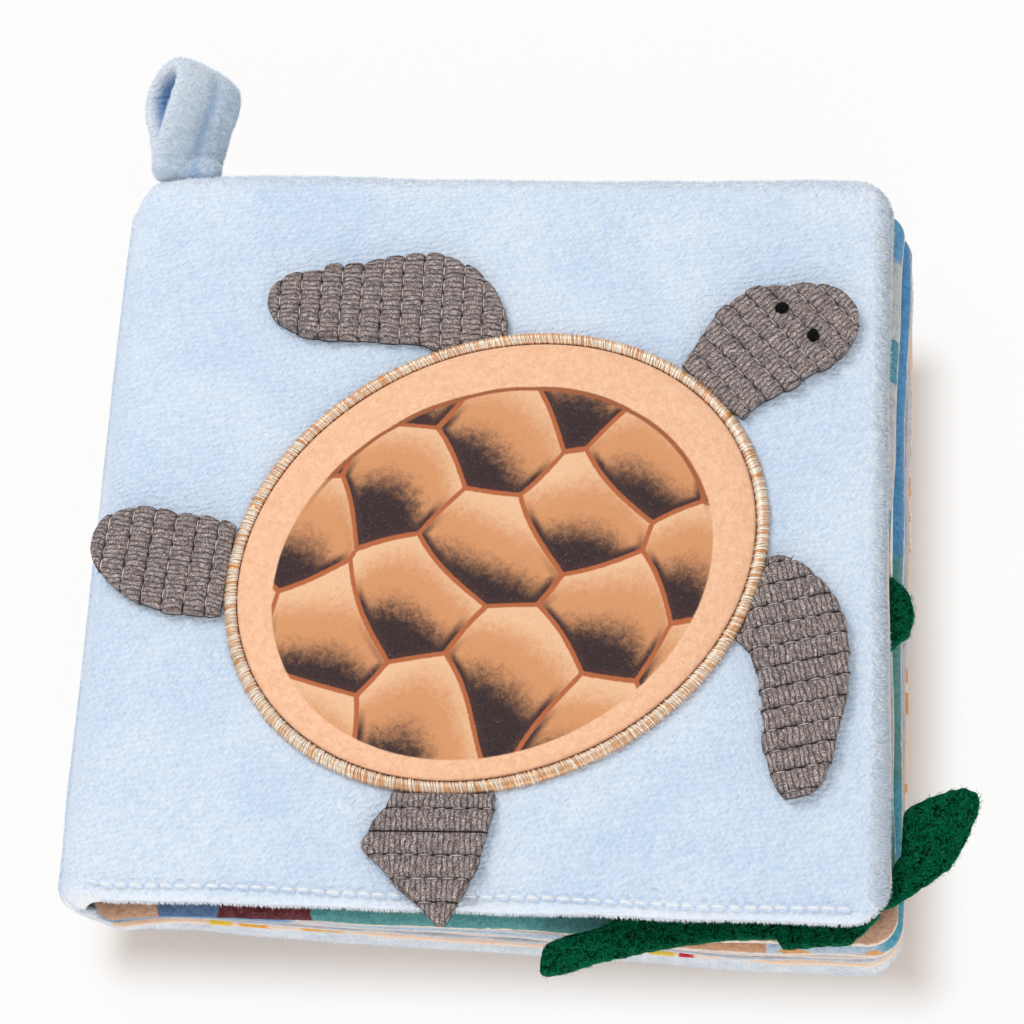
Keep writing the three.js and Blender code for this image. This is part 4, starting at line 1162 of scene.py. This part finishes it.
def ribbed_flap(node, turn_share, length, width, rib, turn, outline, seed):
    """One flap, made of a strip of knitting for each rib; it lies flat on the cover. Its outline is
    in hundredths of its length and width."""
    root, out = (pair[0] for pair in oval(np.array([turn_share]), np.array([BORDER_HALF + 0.3])))
    beside = np.array([-out[1], out[0]])
    outline = smoothed(np.array(outline) / 100 * (length, width))
    outline[[0, -1], 0] -= 0.9
    along = np.array([math.cos(math.radians(turn)), math.sin(math.radians(turn))])
    across = np.array([along[1], -along[0]])
    a, b = outline @ across, outline @ along
    low, high = a.min() + 0.10, a.max() - 0.10
    valleys = [k * rib + rib / 2 for k in range(-30, 30)]
    places = [low, high] + [valley + share * rib for valley in valleys for share in RIB_PLACES]
    lines = np.unique(np.round(np.array(places), 3))
    lines = lines[(lines >= low) & (lines <= high)]
    lines = lines[np.concatenate([[True], np.diff(lines) > 0.08])]
    following = np.roll(a, -1), np.roll(b, -1)

    def ends_on(line):
        cut = [(b1 + (line - a1) / (a2 - a1) * (b2 - b1))
               for a1, b1, a2, b2 in zip(a, b, *following) if (a1 - line) * (a2 - line) < 0]
        return min(cut), max(cut)

    def on_cover(spot):
        return root + spot[:, :1] * out + spot[:, 1:] * beside

    def clear_of_border(threads):
        return np.min((threads[:, :, :2] - root) @ out, axis=1) > 0.4

    name = node + "_knit"
    piece = cloth_grid(name, lines, np.linspace(0, 1, 110))
    at = points_of(piece)
    spans_at = {round(float(line), 4): ends_on(line) for line in lines}
    spans = np.array([spans_at[round(float(v), 4)] for v in at[:, 0]])
    phase = (at[:, 0] / rib + 0.5) % 1.0
    arch = (1 - np.abs(2 * phase - 1) ** 3.2).clip(0, 1) ** 0.65
    puff = 0.16 * arch
    own = np.floor(at[:, 0] / rib + 0.5).astype(int) + 40
    uneven = chance.normal(0, 0.3, (80, 2)).clip(-0.45, 0.45)[own] * arch[:, None]
    spans = spans + uneven * smoothstep(spans[:, 1] - spans[:, 0], 6.0, 12.0)[:, None]
    place_b = spans[:, 0] - puff + at[:, 1] * (spans[:, 1] - spans[:, 0] + 2 * puff)
    flat = at[:, :1] * across + place_b[:, None] * along
    depth = from_outline(flat, outline)
    edge = np.sqrt(1 - (1 - np.clip(depth + puff, 0, 1)) ** 2)
    held = smoothstep(flat[:, 0], -1.0, 1.6)
    wobble = drift(np.stack([at[:, 0], place_b, 0 * depth], 1), 3.0, seed)
    crimp = np.sin(2 * math.pi * (place_b + 0.7 * wobble))
    swell = (1.3 + 1.25 * arch) * (0.55 + 0.45 * held)
    height = 0.7 + (swell - 0.7) * (0.2 + 0.8 * edge) * (1 + 0.05 * wobble) + 0.05 * crimp * arch * edge
    move(piece, np.concatenate([on_cover(flat), (COVER_TOP + 0.1 + height)[:, None]], 1))
    mark(piece, "run", place_b)
    # valley and edge place the knit's painted shade in the valleys and low on the flap's sides.
    mark(piece, "valley", np.minimum(phase, 1 - phase) * rib)
    mark(piece, "edge", np.zeros(len(at)))
    if across[0] * along[1] - across[1] * along[0] < 0:
        on_whole_mesh(piece, bpy.ops.mesh.flip_normals)
    stuff(piece, 0.5, COVER_TOP + 0.12)
    mark(piece, "edge", np.repeat([0.0, 1.0], len(at)))
    finish_off(piece, node, [node], knit_grey, "knit_grey")
    stitched = [valley for valley in valleys if low + 0.6 < valley < high - 0.6]
    flap_stitches(name + "_stitches", node, stitched, across, along, ends_on, on_cover)
    frayed = [valley for valley in valleys if low + 0.4 < valley < high - 0.4]
    flap_yarn_ends(name + "_ends", node, frayed, across, along, ends_on, on_cover, clear_of_border)


HEAD_SHARE = 0.038
HEAD_LENGTH = 32.3
FLAPS = [
    ("front_left_flipper", 0.2, 22, 45, 4, -15, [
        (0, -16), (9, -17), (30, -16), (48, -13), (67, -6), (81, 1), (87, 7), (91, 20), (94, 29),
        (92, 40), (96, 49), (97, 58), (100, 70), (95, 77), (82, 83), (68, 83), (54, 80), (40, 73),
        (27, 56), (16, 38), (5, 22), (0, 17)]),
    ("turtle_head", HEAD_SHARE, HEAD_LENGTH, 23, 3.9, 86, [
        (0, -35), (22, -40), (35, -46), (47, -49), (58, -54), (75, -55), (88, -49), (96, -36),
        (100, -21), (95, -4), (88, 10), (78, 21), (72, 31), (65, 37), (54, 44), (41, 45), (28, 44),
        (13, 38), (0, 33)]),
    ("rear_left_flipper", 0.417, 25.5, 20.3, 4.2, 90, [
        (0, -43), (10, -47), (28, -50), (39, -49), (50, -52), (65, -54), (80, -52), (88, -46),
        (95, -40), (100, -22), (100, -10), (97, 2), (92, 12), (83, 24), (66, 37), (49, 45), (32, 46),
        (16, 45), (4, 46), (0, 43)]),
    ("front_right_flipper", 0.88, 23, 44, 4, 32, [
        (0, -20), (6, -22), (17, -29), (26, -38), (38, -52), (53, -67), (63, -75), (74, -79), (83, -79),
        (92, -75), (100, -67), (100, -58), (96, -45), (95, -36), (94, -27), (87, -14), (81, -6),
        (70, 3), (59, 10), (45, 15), (29, 19), (17, 21), (6, 21), (0, 20)]),
    ("rear_right_flipper", 0.656, 24, 24.5, 4.4, 90, [
        (0, -38), (6, -41), (12, -46), (23, -53), (35, -60), (40, -62), (47, -54), (58, -44), (72, -29),
        (88, -12), (103, 1), (94, 7), (86, 11), (74, 16), (61, 22), (46, 28), (25, 33), (13, 37),
        (0, 38)]),
]
for seed, flap in enumerate(FLAPS):
    ribbed_flap(*flap, 3.0 * seed)

# Eyes: two French knots of thick black thread, sewn through the head and pulled down into it.

EYES_FROM_TIP = 11.6
EYES_APART = 8.3
black_thread = thread_finish("black_thread", "#010101", "#0b0a0a", 0.75, 0.0, 0.3, 0.15)
root, out = oval(np.array([HEAD_SHARE]), np.array([BORDER_HALF + 0.3]))
beside = np.array([-out[0, 1], out[0, 0]])
for name, side in (("eye_left", 1), ("eye_right", -1)):
    spot = root[0] + out[0] * (HEAD_LENGTH - EYES_FROM_TIP) + beside * (side * EYES_APART / 2 - 2.2)
    knot = primitive(name + "_knot", bpy.ops.mesh.primitive_ico_sphere_add, subdivisions=5, radius=1.0)
    at = points_of(knot)
    x, y, z = at.T
    turn = np.arctan2(y, x)
    coil = np.sin(3 * turn + z * 5.0 + x * 2.0)
    swell = 1.18 * (1 + 0.07 * coil + 0.10 * np.sin(2 * turn + side) + 0.12 * drift(at, 0.5, side))
    move(knot, np.stack([x * swell + spot[0], y * swell * 1.05 + spot[1],
                         COVER_TOP + 2.75 + z * (0.95 + 0.10 * coil)], 1))
    mark(knot, "tint", np.clip(0.5 + 0.5 * coil, 0, 1))
    mark(knot, "around", coil * 2)
    finish_off(knot, "turtle_head", [name], black_thread, "black_thread")

# Pile: the plush's long fibres stand out where the cloth turns over, along the foot, the fore-edge
# and the head of the front cover and along the foot and the fore-edge of the back one. They are
# short tapered tufts, and the nap of each edge lies one way.


def grow_tufts(name, source, count, where, lean, length, width, body, finish, slot, seed, lay):
    """Tufts on the faces of a piece for which where(middles, normals) holds."""
    mesh = source.data
    mesh.calc_loop_triangles()
    chance = np.random.default_rng(seed)
    corners = np.zeros(len(mesh.loop_triangles) * 3, int)
    mesh.loop_triangles.foreach_get("vertices", corners)
    at = points_of(source) / MM
    a, b, c = (at[corners.reshape(-1, 3)[:, k]] for k in range(3))
    cross = np.cross(b - a, c - a)
    area = np.linalg.norm(cross, axis=1)
    normal = cross / np.maximum(area, 1e-12)[:, None]
    weight = area * where((a + b + c) / 3, normal)
    chosen = chance.choice(len(weight), count, p=weight / weight.sum())
    u, v = chance.random((2, count))
    over = u + v > 1
    u, v = np.where(over, 1 - u, u), np.where(over, 1 - v, v)
    root = a[chosen] + u[:, None] * (b - a)[chosen] + v[:, None] * (c - a)[chosen]
    up = normal[chosen]
    nap = np.array(lean, float) + chance.normal(0, 0.35, (count, 3))
    nap -= up * (nap * up).sum(1)[:, None] * 0.8
    way = up * (1 - lay) + nap / np.maximum(np.linalg.norm(nap, axis=1), 1e-9)[:, None] * lay
    way += chance.normal(0, 0.08, (count, 3))
    way /= np.linalg.norm(way, axis=1)[:, None]
    long = length * (1 + chance.normal(0, 0.22, count)).clip(0.4, 1.6)
    bow = (np.array(lean, float) * 0.35)[None, :] * long[:, None]
    side = np.cross(way, chance.normal(0, 1, (count, 3)))
    side /= np.maximum(np.linalg.norm(side, axis=1), 1e-9)[:, None]
    other = np.cross(way, side)
    turn = np.arange(3) / 3 * 2 * math.pi
    ring = np.cos(turn)[None, :, None] * side[:, None, :] + np.sin(turn)[None, :, None] * other[:, None, :]
    wide = (width * (1 + chance.normal(0, 0.2, count)).clip(0.5, 1.5))[:, None, None]
    middle = root + way * (long * 0.55)[:, None] + bow * 0.3
    tip = root + way * long[:, None] + bow
    verts = np.concatenate([(root - up * 0.15)[:, None, :] + ring * wide,
                            middle[:, None, :] + ring * wide * 0.72, tip[:, None, :]], 1)
    base = (np.arange(count) * 7)[:, None]
    quads = [np.concatenate([base + k, base + (k + 1) % 3, base + 3 + (k + 1) % 3, base + 3 + k], 1)
             for k in range(3)]
    ends = [np.concatenate([base + 3 + k, base + 3 + (k + 1) % 3, base + 6], 1) for k in range(3)]
    root_face = [np.concatenate([base + 2, base + 1, base], 1)]
    piece = mesh_piece(name, verts.reshape(-1, 3),
                       [face for part in quads + ends + root_face for face in part.tolist()])
    mark(piece, "tip", np.tile([0, 0, 0, 0.6, 0.6, 0.6, 1.0], count))
    finish_off(piece, body, [], finish, slot, pinched=False)
    facing = up * 0.35 + (0, 0, 1.0)
    facing /= np.linalg.norm(facing, axis=1)[:, None]
    piece.data.normals_split_custom_set_from_vertices(np.repeat(facing, 7, 0).tolist())


def pile_paint(low, high):
    """Paint of a tuft, darker at its root and paler at its tip: painted shade among the fibres and a painted
    sheen at their tips.
    """
    def paint(place, fine, tufts):
        return (place.read("tip") * 0.7 + fine * 0.3).rise(0.1, 0.8).mix(low, high)
    return paint


# The pale pile, on the covers' feet and the back's fore-edge, is paler than the plush: painted light on
# faces that the lamps barely reach.
pile_painted_light = cloth_finish("pile_painted_light", pile_paint("#dfeafa", "#f8fbff"), nap=1.0, sheen=0.3)
pile_blue = cloth_finish("pile_blue", pile_paint("#cbdef4", "#e6f0fb"), nap=1.0, sheen=0.3)


def foot_band(at, normal):
    """The front cover's foot, below the topstitching."""
    x, y, z = at.T
    return (y < STITCH_LINE) * (x > -68) * (normal[:, 2] < 0.25) * (z > 28.6)


def fore_band(at, normal):
    """The front cover's fore-edge."""
    near = np.clip((at[:, 0] - 71.0) / 3, 0, 1)
    return near * (normal[:, 0] > -0.3) * (normal[:, 2] > -0.6) * (at[:, 1] > STITCH_LINE - 2)


def head_band(at, normal):
    """The front cover's head, clear of the spine."""
    near = np.clip((at[:, 1] - 72.5) / 2, 0, 1)
    return near * (normal[:, 1] > -0.3) * (normal[:, 2] > -0.6) * (at[:, 0] > -74)


def back_band(at, normal):
    """The back cover's foot and fore-edge, off the table."""
    x, y, z = at.T
    facing = (y < -70) * (normal[:, 1] < -0.1) + (x > 77) * (normal[:, 0] > 0.3)
    return facing * (z > 1.0) * (x > -64)


grow_tufts("foot_pile", front_plush, 8000, foot_band, (0.3, -1, -0.3), 0.5, 0.09, "front_cover",
           pile_painted_light, "plush_blue", 41, 0.6)
grow_tufts("fore_pile", front_plush, 9000, fore_band, (1, -0.1, -0.3), 0.65, 0.08, "front_cover",
           pile_blue, "plush_blue", 42, 0.6)
grow_tufts("head_pile", front_plush, 6000, head_band, (0.1, 1, -0.2), 0.5, 0.08, "front_cover",
           pile_blue, "plush_blue", 43, 0.5)
grow_tufts("back_pile", back_plush, 9000, back_band, (0.2, -1, 0.3), 0.4, 0.05, "back_cover",
           pile_painted_light, "plush_back", 44, 0.6)

# Topstitching: one row of white stitches along the foot of the front cover. It goes through the
# plush and what is turned in under it, so each stitch's ends are drawn down into the pile.

STITCH_LENGTH = 2.3
stitches = []
for x in np.arange(-71.2, 68, STITCH_STEP):
    start, stop = x + chance.normal(0, 0.1), x + STITCH_LENGTH + chance.normal(0, 0.15)
    line = np.linspace(start, stop, 7)
    sag = np.array([-0.3, 0.1, 0.22, 0.25, 0.22, 0.1, -0.3])
    y = stitch_line(line) + chance.normal(0, 0.05)
    top = 32.15 - 0.9 * smoothstep(-line, 66, 72)
    stitches.append(np.stack([line, y, top + sag], 1))
topstitch = thread_mesh("topstitching", np.array(stitches),
                        np.tile(np.array([0.12, 0.2, 0.22, 0.22, 0.22, 0.2, 0.12]), (len(stitches), 1)),
                        chance.random(len(stitches)), 0.9, 6)
finish_off(topstitch, "front_cover", [], pale_thread, "plush_blue")

# Seaweed: three leaves of thick green felt that lie on the first leaf's page, sewn to it at its
# edge so that they show past the cover. Loose fibres lie all over them.


def felt_paint(place, fine, tufts):
    """Matted green wool with single bright hairs, paler on its cut edge."""
    strands = grain_of(place, 1.5, 3.0, 0.75, (1, 1, 1), 3.5)
    hair = (strands - 0.5).abs().rise(0.055, 0.0)
    clumps = (fine * 0.6 + tufts * 0.4).rise(0.36, 0.64)
    top = clumps.mix("#00130b", "#004029")
    dark = (place.read("side") * 0.6).mix(top, clumps.mix("#002f1f", "#14704b"))
    return (hair * clumps.rise(0.0, 0.6) * 0.8).mix(dark, "#057a50")


felt_green = cloth_finish("felt_green", felt_paint, nap=7.0, nap_size=0.5, sheen=0.0, specular=0.04)


def felt_hair_paint(place, fine, tufts):
    """Paint of the loose fibres on the felt."""
    return fine.rise(0.3, 0.7).mix("#077247", "#2f9c70")


felt_hair = cloth_finish("felt_hair", felt_hair_paint, nap=1.0, sheen=0.1, specular=0.15)
for seed, (node, lift, width, length, area) in enumerate((
    ("seaweed_side", 0.3, 0.025, 0.0148, 0.00028),
    ("seaweed_corner", 1.2, 0.0367, 0.0307, 0.00053),
    ("seaweed_foot", -0.6, 0.040, 0.0155, 0.00037),
)):
    leaf = bpy.data.objects.new(node + "_felt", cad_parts[node].data.copy())
    bpy.context.scene.collection.objects.link(leaf)
    on_whole_mesh(leaf, bpy.ops.mesh.remove_doubles, threshold=0.00001)
    modify(leaf, "REMESH", mode="VOXEL", voxel_size=0.0005)
    modify(leaf, "SMOOTH", iterations=5)
    at = points_of(leaf) / MM
    fore_end = at[:, 0].max()
    slow = drift(at, 6.0, seed)
    quick = drift(at, 1.3, seed + 5)
    normals = points_of(leaf, "normal")
    at = at + normals * (0.26 * quick + 0.08)[:, None]
    x, y, z = at.T
    z += 0.35 * slow + lift * smoothstep(np.maximum(x - 76, -75.5 - y), 0, 14)
    if node == "seaweed_foot":
        x += 5.0 * smoothstep(x, fore_end - 16, fore_end)
    move(leaf, at)
    mark(leaf, "side", (1.0 - np.abs(normals[:, 2])).clip(0, 1))
    finish_off(leaf, "leaf_1", [node], felt_green, "felt")
    leaf.data.validate()
    grow_tufts(node + "_fibres", leaf, 2400, lambda m, n: np.ones(len(m)), (0.3, 0.2, 0), 1.1, 0.04,
               "leaf_1", felt_hair, "felt", 50 + seed, 0.85)

# Hanging loop: a plush strip sewn into a soft tube, flattened and folded over, with both ends
# caught in the head seam beside the spine. A seam runs along the middle of its outer face.

LOOP_AT = np.array([-66.5, 78.0, 29.0])
LOOP_HALF = 7.2
LOOP_THIN = 2.15
LOOP_REACH = 23.4 - LOOP_THIN
LOOP_PART = 9.6 / 2 + LOOP_THIN
ROOT_TURN, TIP_TURN = math.radians(30), math.radians(38)
ROLL_HALF = 2.6
LOOP_SEAM = 0.1


def loop_line(share):
    """How far out and how far up the band's middle lies, by its share of the way round."""
    swing = share * math.pi
    return LOOP_REACH * np.sin(swing) ** 0.8, LOOP_PART * np.sin(2 * swing)


def loop_turn(out):
    """How far the band is turned about its length, this far out from the seam."""
    return ROOT_TURN + smoothstep(out, 0, LOOP_REACH) * (TIP_TURN - ROOT_TURN)


def loop_band(name):
    """The folded band as an open tube, with a crease where its own seam runs."""
    piece = cloth_grid(name, np.linspace(0, 1, 120), np.linspace(0, 1, 49))
    at = points_of(piece)
    share, angle = at[:, 0], at[:, 1] * 2 * math.pi
    out, lift = loop_line(share)
    sunk = 1 - smoothstep(out, 0.0, 3.0)
    out_a, lift_a = loop_line(np.maximum(share - 0.01, 0))
    out_b, lift_b = loop_line(np.minimum(share + 0.01, 1))
    slope = np.arctan2(lift_b - lift_a, out_b - out_a)
    turn = loop_turn(out)
    wide = np.stack([np.cos(turn), 0 * turn, -np.sin(turn)], 1)
    up = np.stack([np.sin(turn), 0 * turn, np.cos(turn)], 1)
    normal = up * np.cos(slope)[:, None]
    normal[:, 1] = -np.sin(slope)
    across = np.sign(np.cos(angle)) * np.abs(np.cos(angle)) ** 0.75
    through = np.sign(np.sin(angle)) * np.abs(np.sin(angle)) ** 0.8
    outer = np.where(share < 0.5, np.sin(angle) > 0, np.sin(angle) < 0)
    crease = 0.55 * np.exp(-((across - LOOP_SEAM) / 0.16) ** 2) * outer
    crease = crease * smoothstep(LOOP_REACH - out, 0.3, 5.0)
    slant = 2.6 * ((across + 1) / 2) ** 1.3 * smoothstep(out, 6.0, LOOP_REACH)
    spot = np.stack([0 * out, out - 1.3 * sunk - slant, 0 * out], 1) + up * lift[:, None]
    spot = spot + wide * (across * LOOP_HALF)[:, None]
    spot = spot + normal * (through * LOOP_THIN * (1.05 - crease))[:, None]
    move(piece, spot)
    on_whole_mesh(piece, bpy.ops.mesh.remove_doubles, threshold=0.001)
    bpy.ops.object.mode_set(mode="EDIT")
    bpy.ops.mesh.select_all(action="DESELECT")
    bpy.ops.mesh.select_non_manifold()
    bpy.ops.mesh.edge_face_add()
    bpy.ops.object.mode_set(mode="OBJECT")
    on_whole_mesh(piece, bpy.ops.mesh.normals_make_consistent, inside=False)
    return piece


def loop_mesh(name):
    """The band and a roll at its root that fills the seam, made into one soft skin."""
    piece = loop_band(name)
    roll = primitive("loop_roll", bpy.ops.mesh.primitive_uv_sphere_add, segments=32, ring_count=16, radius=1)
    x, y, z = points_of(roll).T
    x = x * ROLL_HALF + np.sign(x) * (LOOP_HALF - 2.7)
    move(roll, np.stack([x, y * ROLL_HALF, z * ROLL_HALF], 1))
    piece.select_set(True)
    bpy.context.view_layer.objects.active = piece
    bpy.ops.object.join()
    modify(piece, "REMESH", mode="VOXEL", voxel_size=0.35)
    modify(piece, "SMOOTH", iterations=12)
    at = points_of(piece)
    normals = points_of(piece, "normal")
    x, y, z = at.T
    turn = loop_turn(y)
    over = x * np.sin(turn) + z * np.cos(turn)
    across = (x * np.cos(turn) - z * np.sin(turn)) / LOOP_HALF
    to_hole = np.stack([-over * np.sin(turn), LOOP_REACH * 0.55 - y, -over * np.cos(turn)], 1)
    to_hole /= np.maximum(np.linalg.norm(to_hole, axis=1), 1e-6)[:, None]
    inner = smoothstep((normals * to_hole).sum(1), 0.1, 0.7) * smoothstep(y, 0.5, 4.0)
    inner *= smoothstep(across, -0.95, -0.6)
    seam = np.exp(-((across - LOOP_SEAM) / 0.11) ** 2) * smoothstep(LOOP_REACH - y, 1.0, 6.0) * (over > 0)
    free = smoothstep(y, -1.0, 3.0)
    swell = (0.25 * drift(at, 5.0, 9.0) + 0.07 * drift(at, 0.8, 3.0)) * free
    move(piece, at + normals * swell[:, None] + LOOP_AT)
    mark(piece, "rim", np.full(len(at), 20.0))
    # fold marks the faces in the loop's hole and along its seam, where the plush is painted darker: painted
    # shade.
    mark(piece, "fold", np.clip(inner + seam * 0.5, 0, 1))
    return piece


def loop_paint(place, fine, tufts):
    """The same plush with its pile brushed up: painted light towards the spine and the top, and painted
    shade away from them and in the hole.
    """
    x, y, _ = place.parts()
    blend = (dimples(place, tufts) * 0.5 + 0.5) * 0.3 + tufts.rise(0.3, 0.7) * 0.4 + strokes(place) * 0.3
    deep = blend.mix("#89a8c8", "#dbe7f5")
    pale = blend.mix("#cfe1f4", "#f8fbfe")
    # Pale towards the spine and the top, a painted light, and deep away from them, a painted shade.
    painted_light_and_shade = (x - y * 0.6 + 121.2 + (tufts - 0.5) * 4.0).rise(-4.0, 11.0).mix(pale, deep)
    # Darker in the hole and along the seam: painted shade.
    return place.read("fold").mix(painted_light_and_shade, "#76a3d4")


loop_plush = cloth_finish("loop_plush", loop_paint, nap=7.0, nap_size=0.42, sheen=0.3, rows=dimples)
loop = loop_mesh("loop_plush")
finish_off(loop, "hanging_loop", ["hanging_loop"], loop_plush, "plush_blue", pinched=False)

LOOP_UP_X, LOOP_UP_Z = 0.56, 0.83


def loop_outside(middle, normal):
    """The loop's faces above the seam that don't look into its hole."""
    over = (middle[:, 0] - LOOP_AT[0]) * LOOP_UP_X + (middle[:, 2] - LOOP_AT[2]) * LOOP_UP_Z
    upward = normal[:, 0] * LOOP_UP_X + normal[:, 2] * LOOP_UP_Z
    return (middle[:, 1] > 77.5) & ((over > 0) | (upward < 0.3))


grow_tufts("loop_pile", loop, 9000, loop_outside, (0.1, 0.9, 0.1), 0.38, 0.06, "hanging_loop",
           pile_blue, "plush_blue", 61, 0.45)
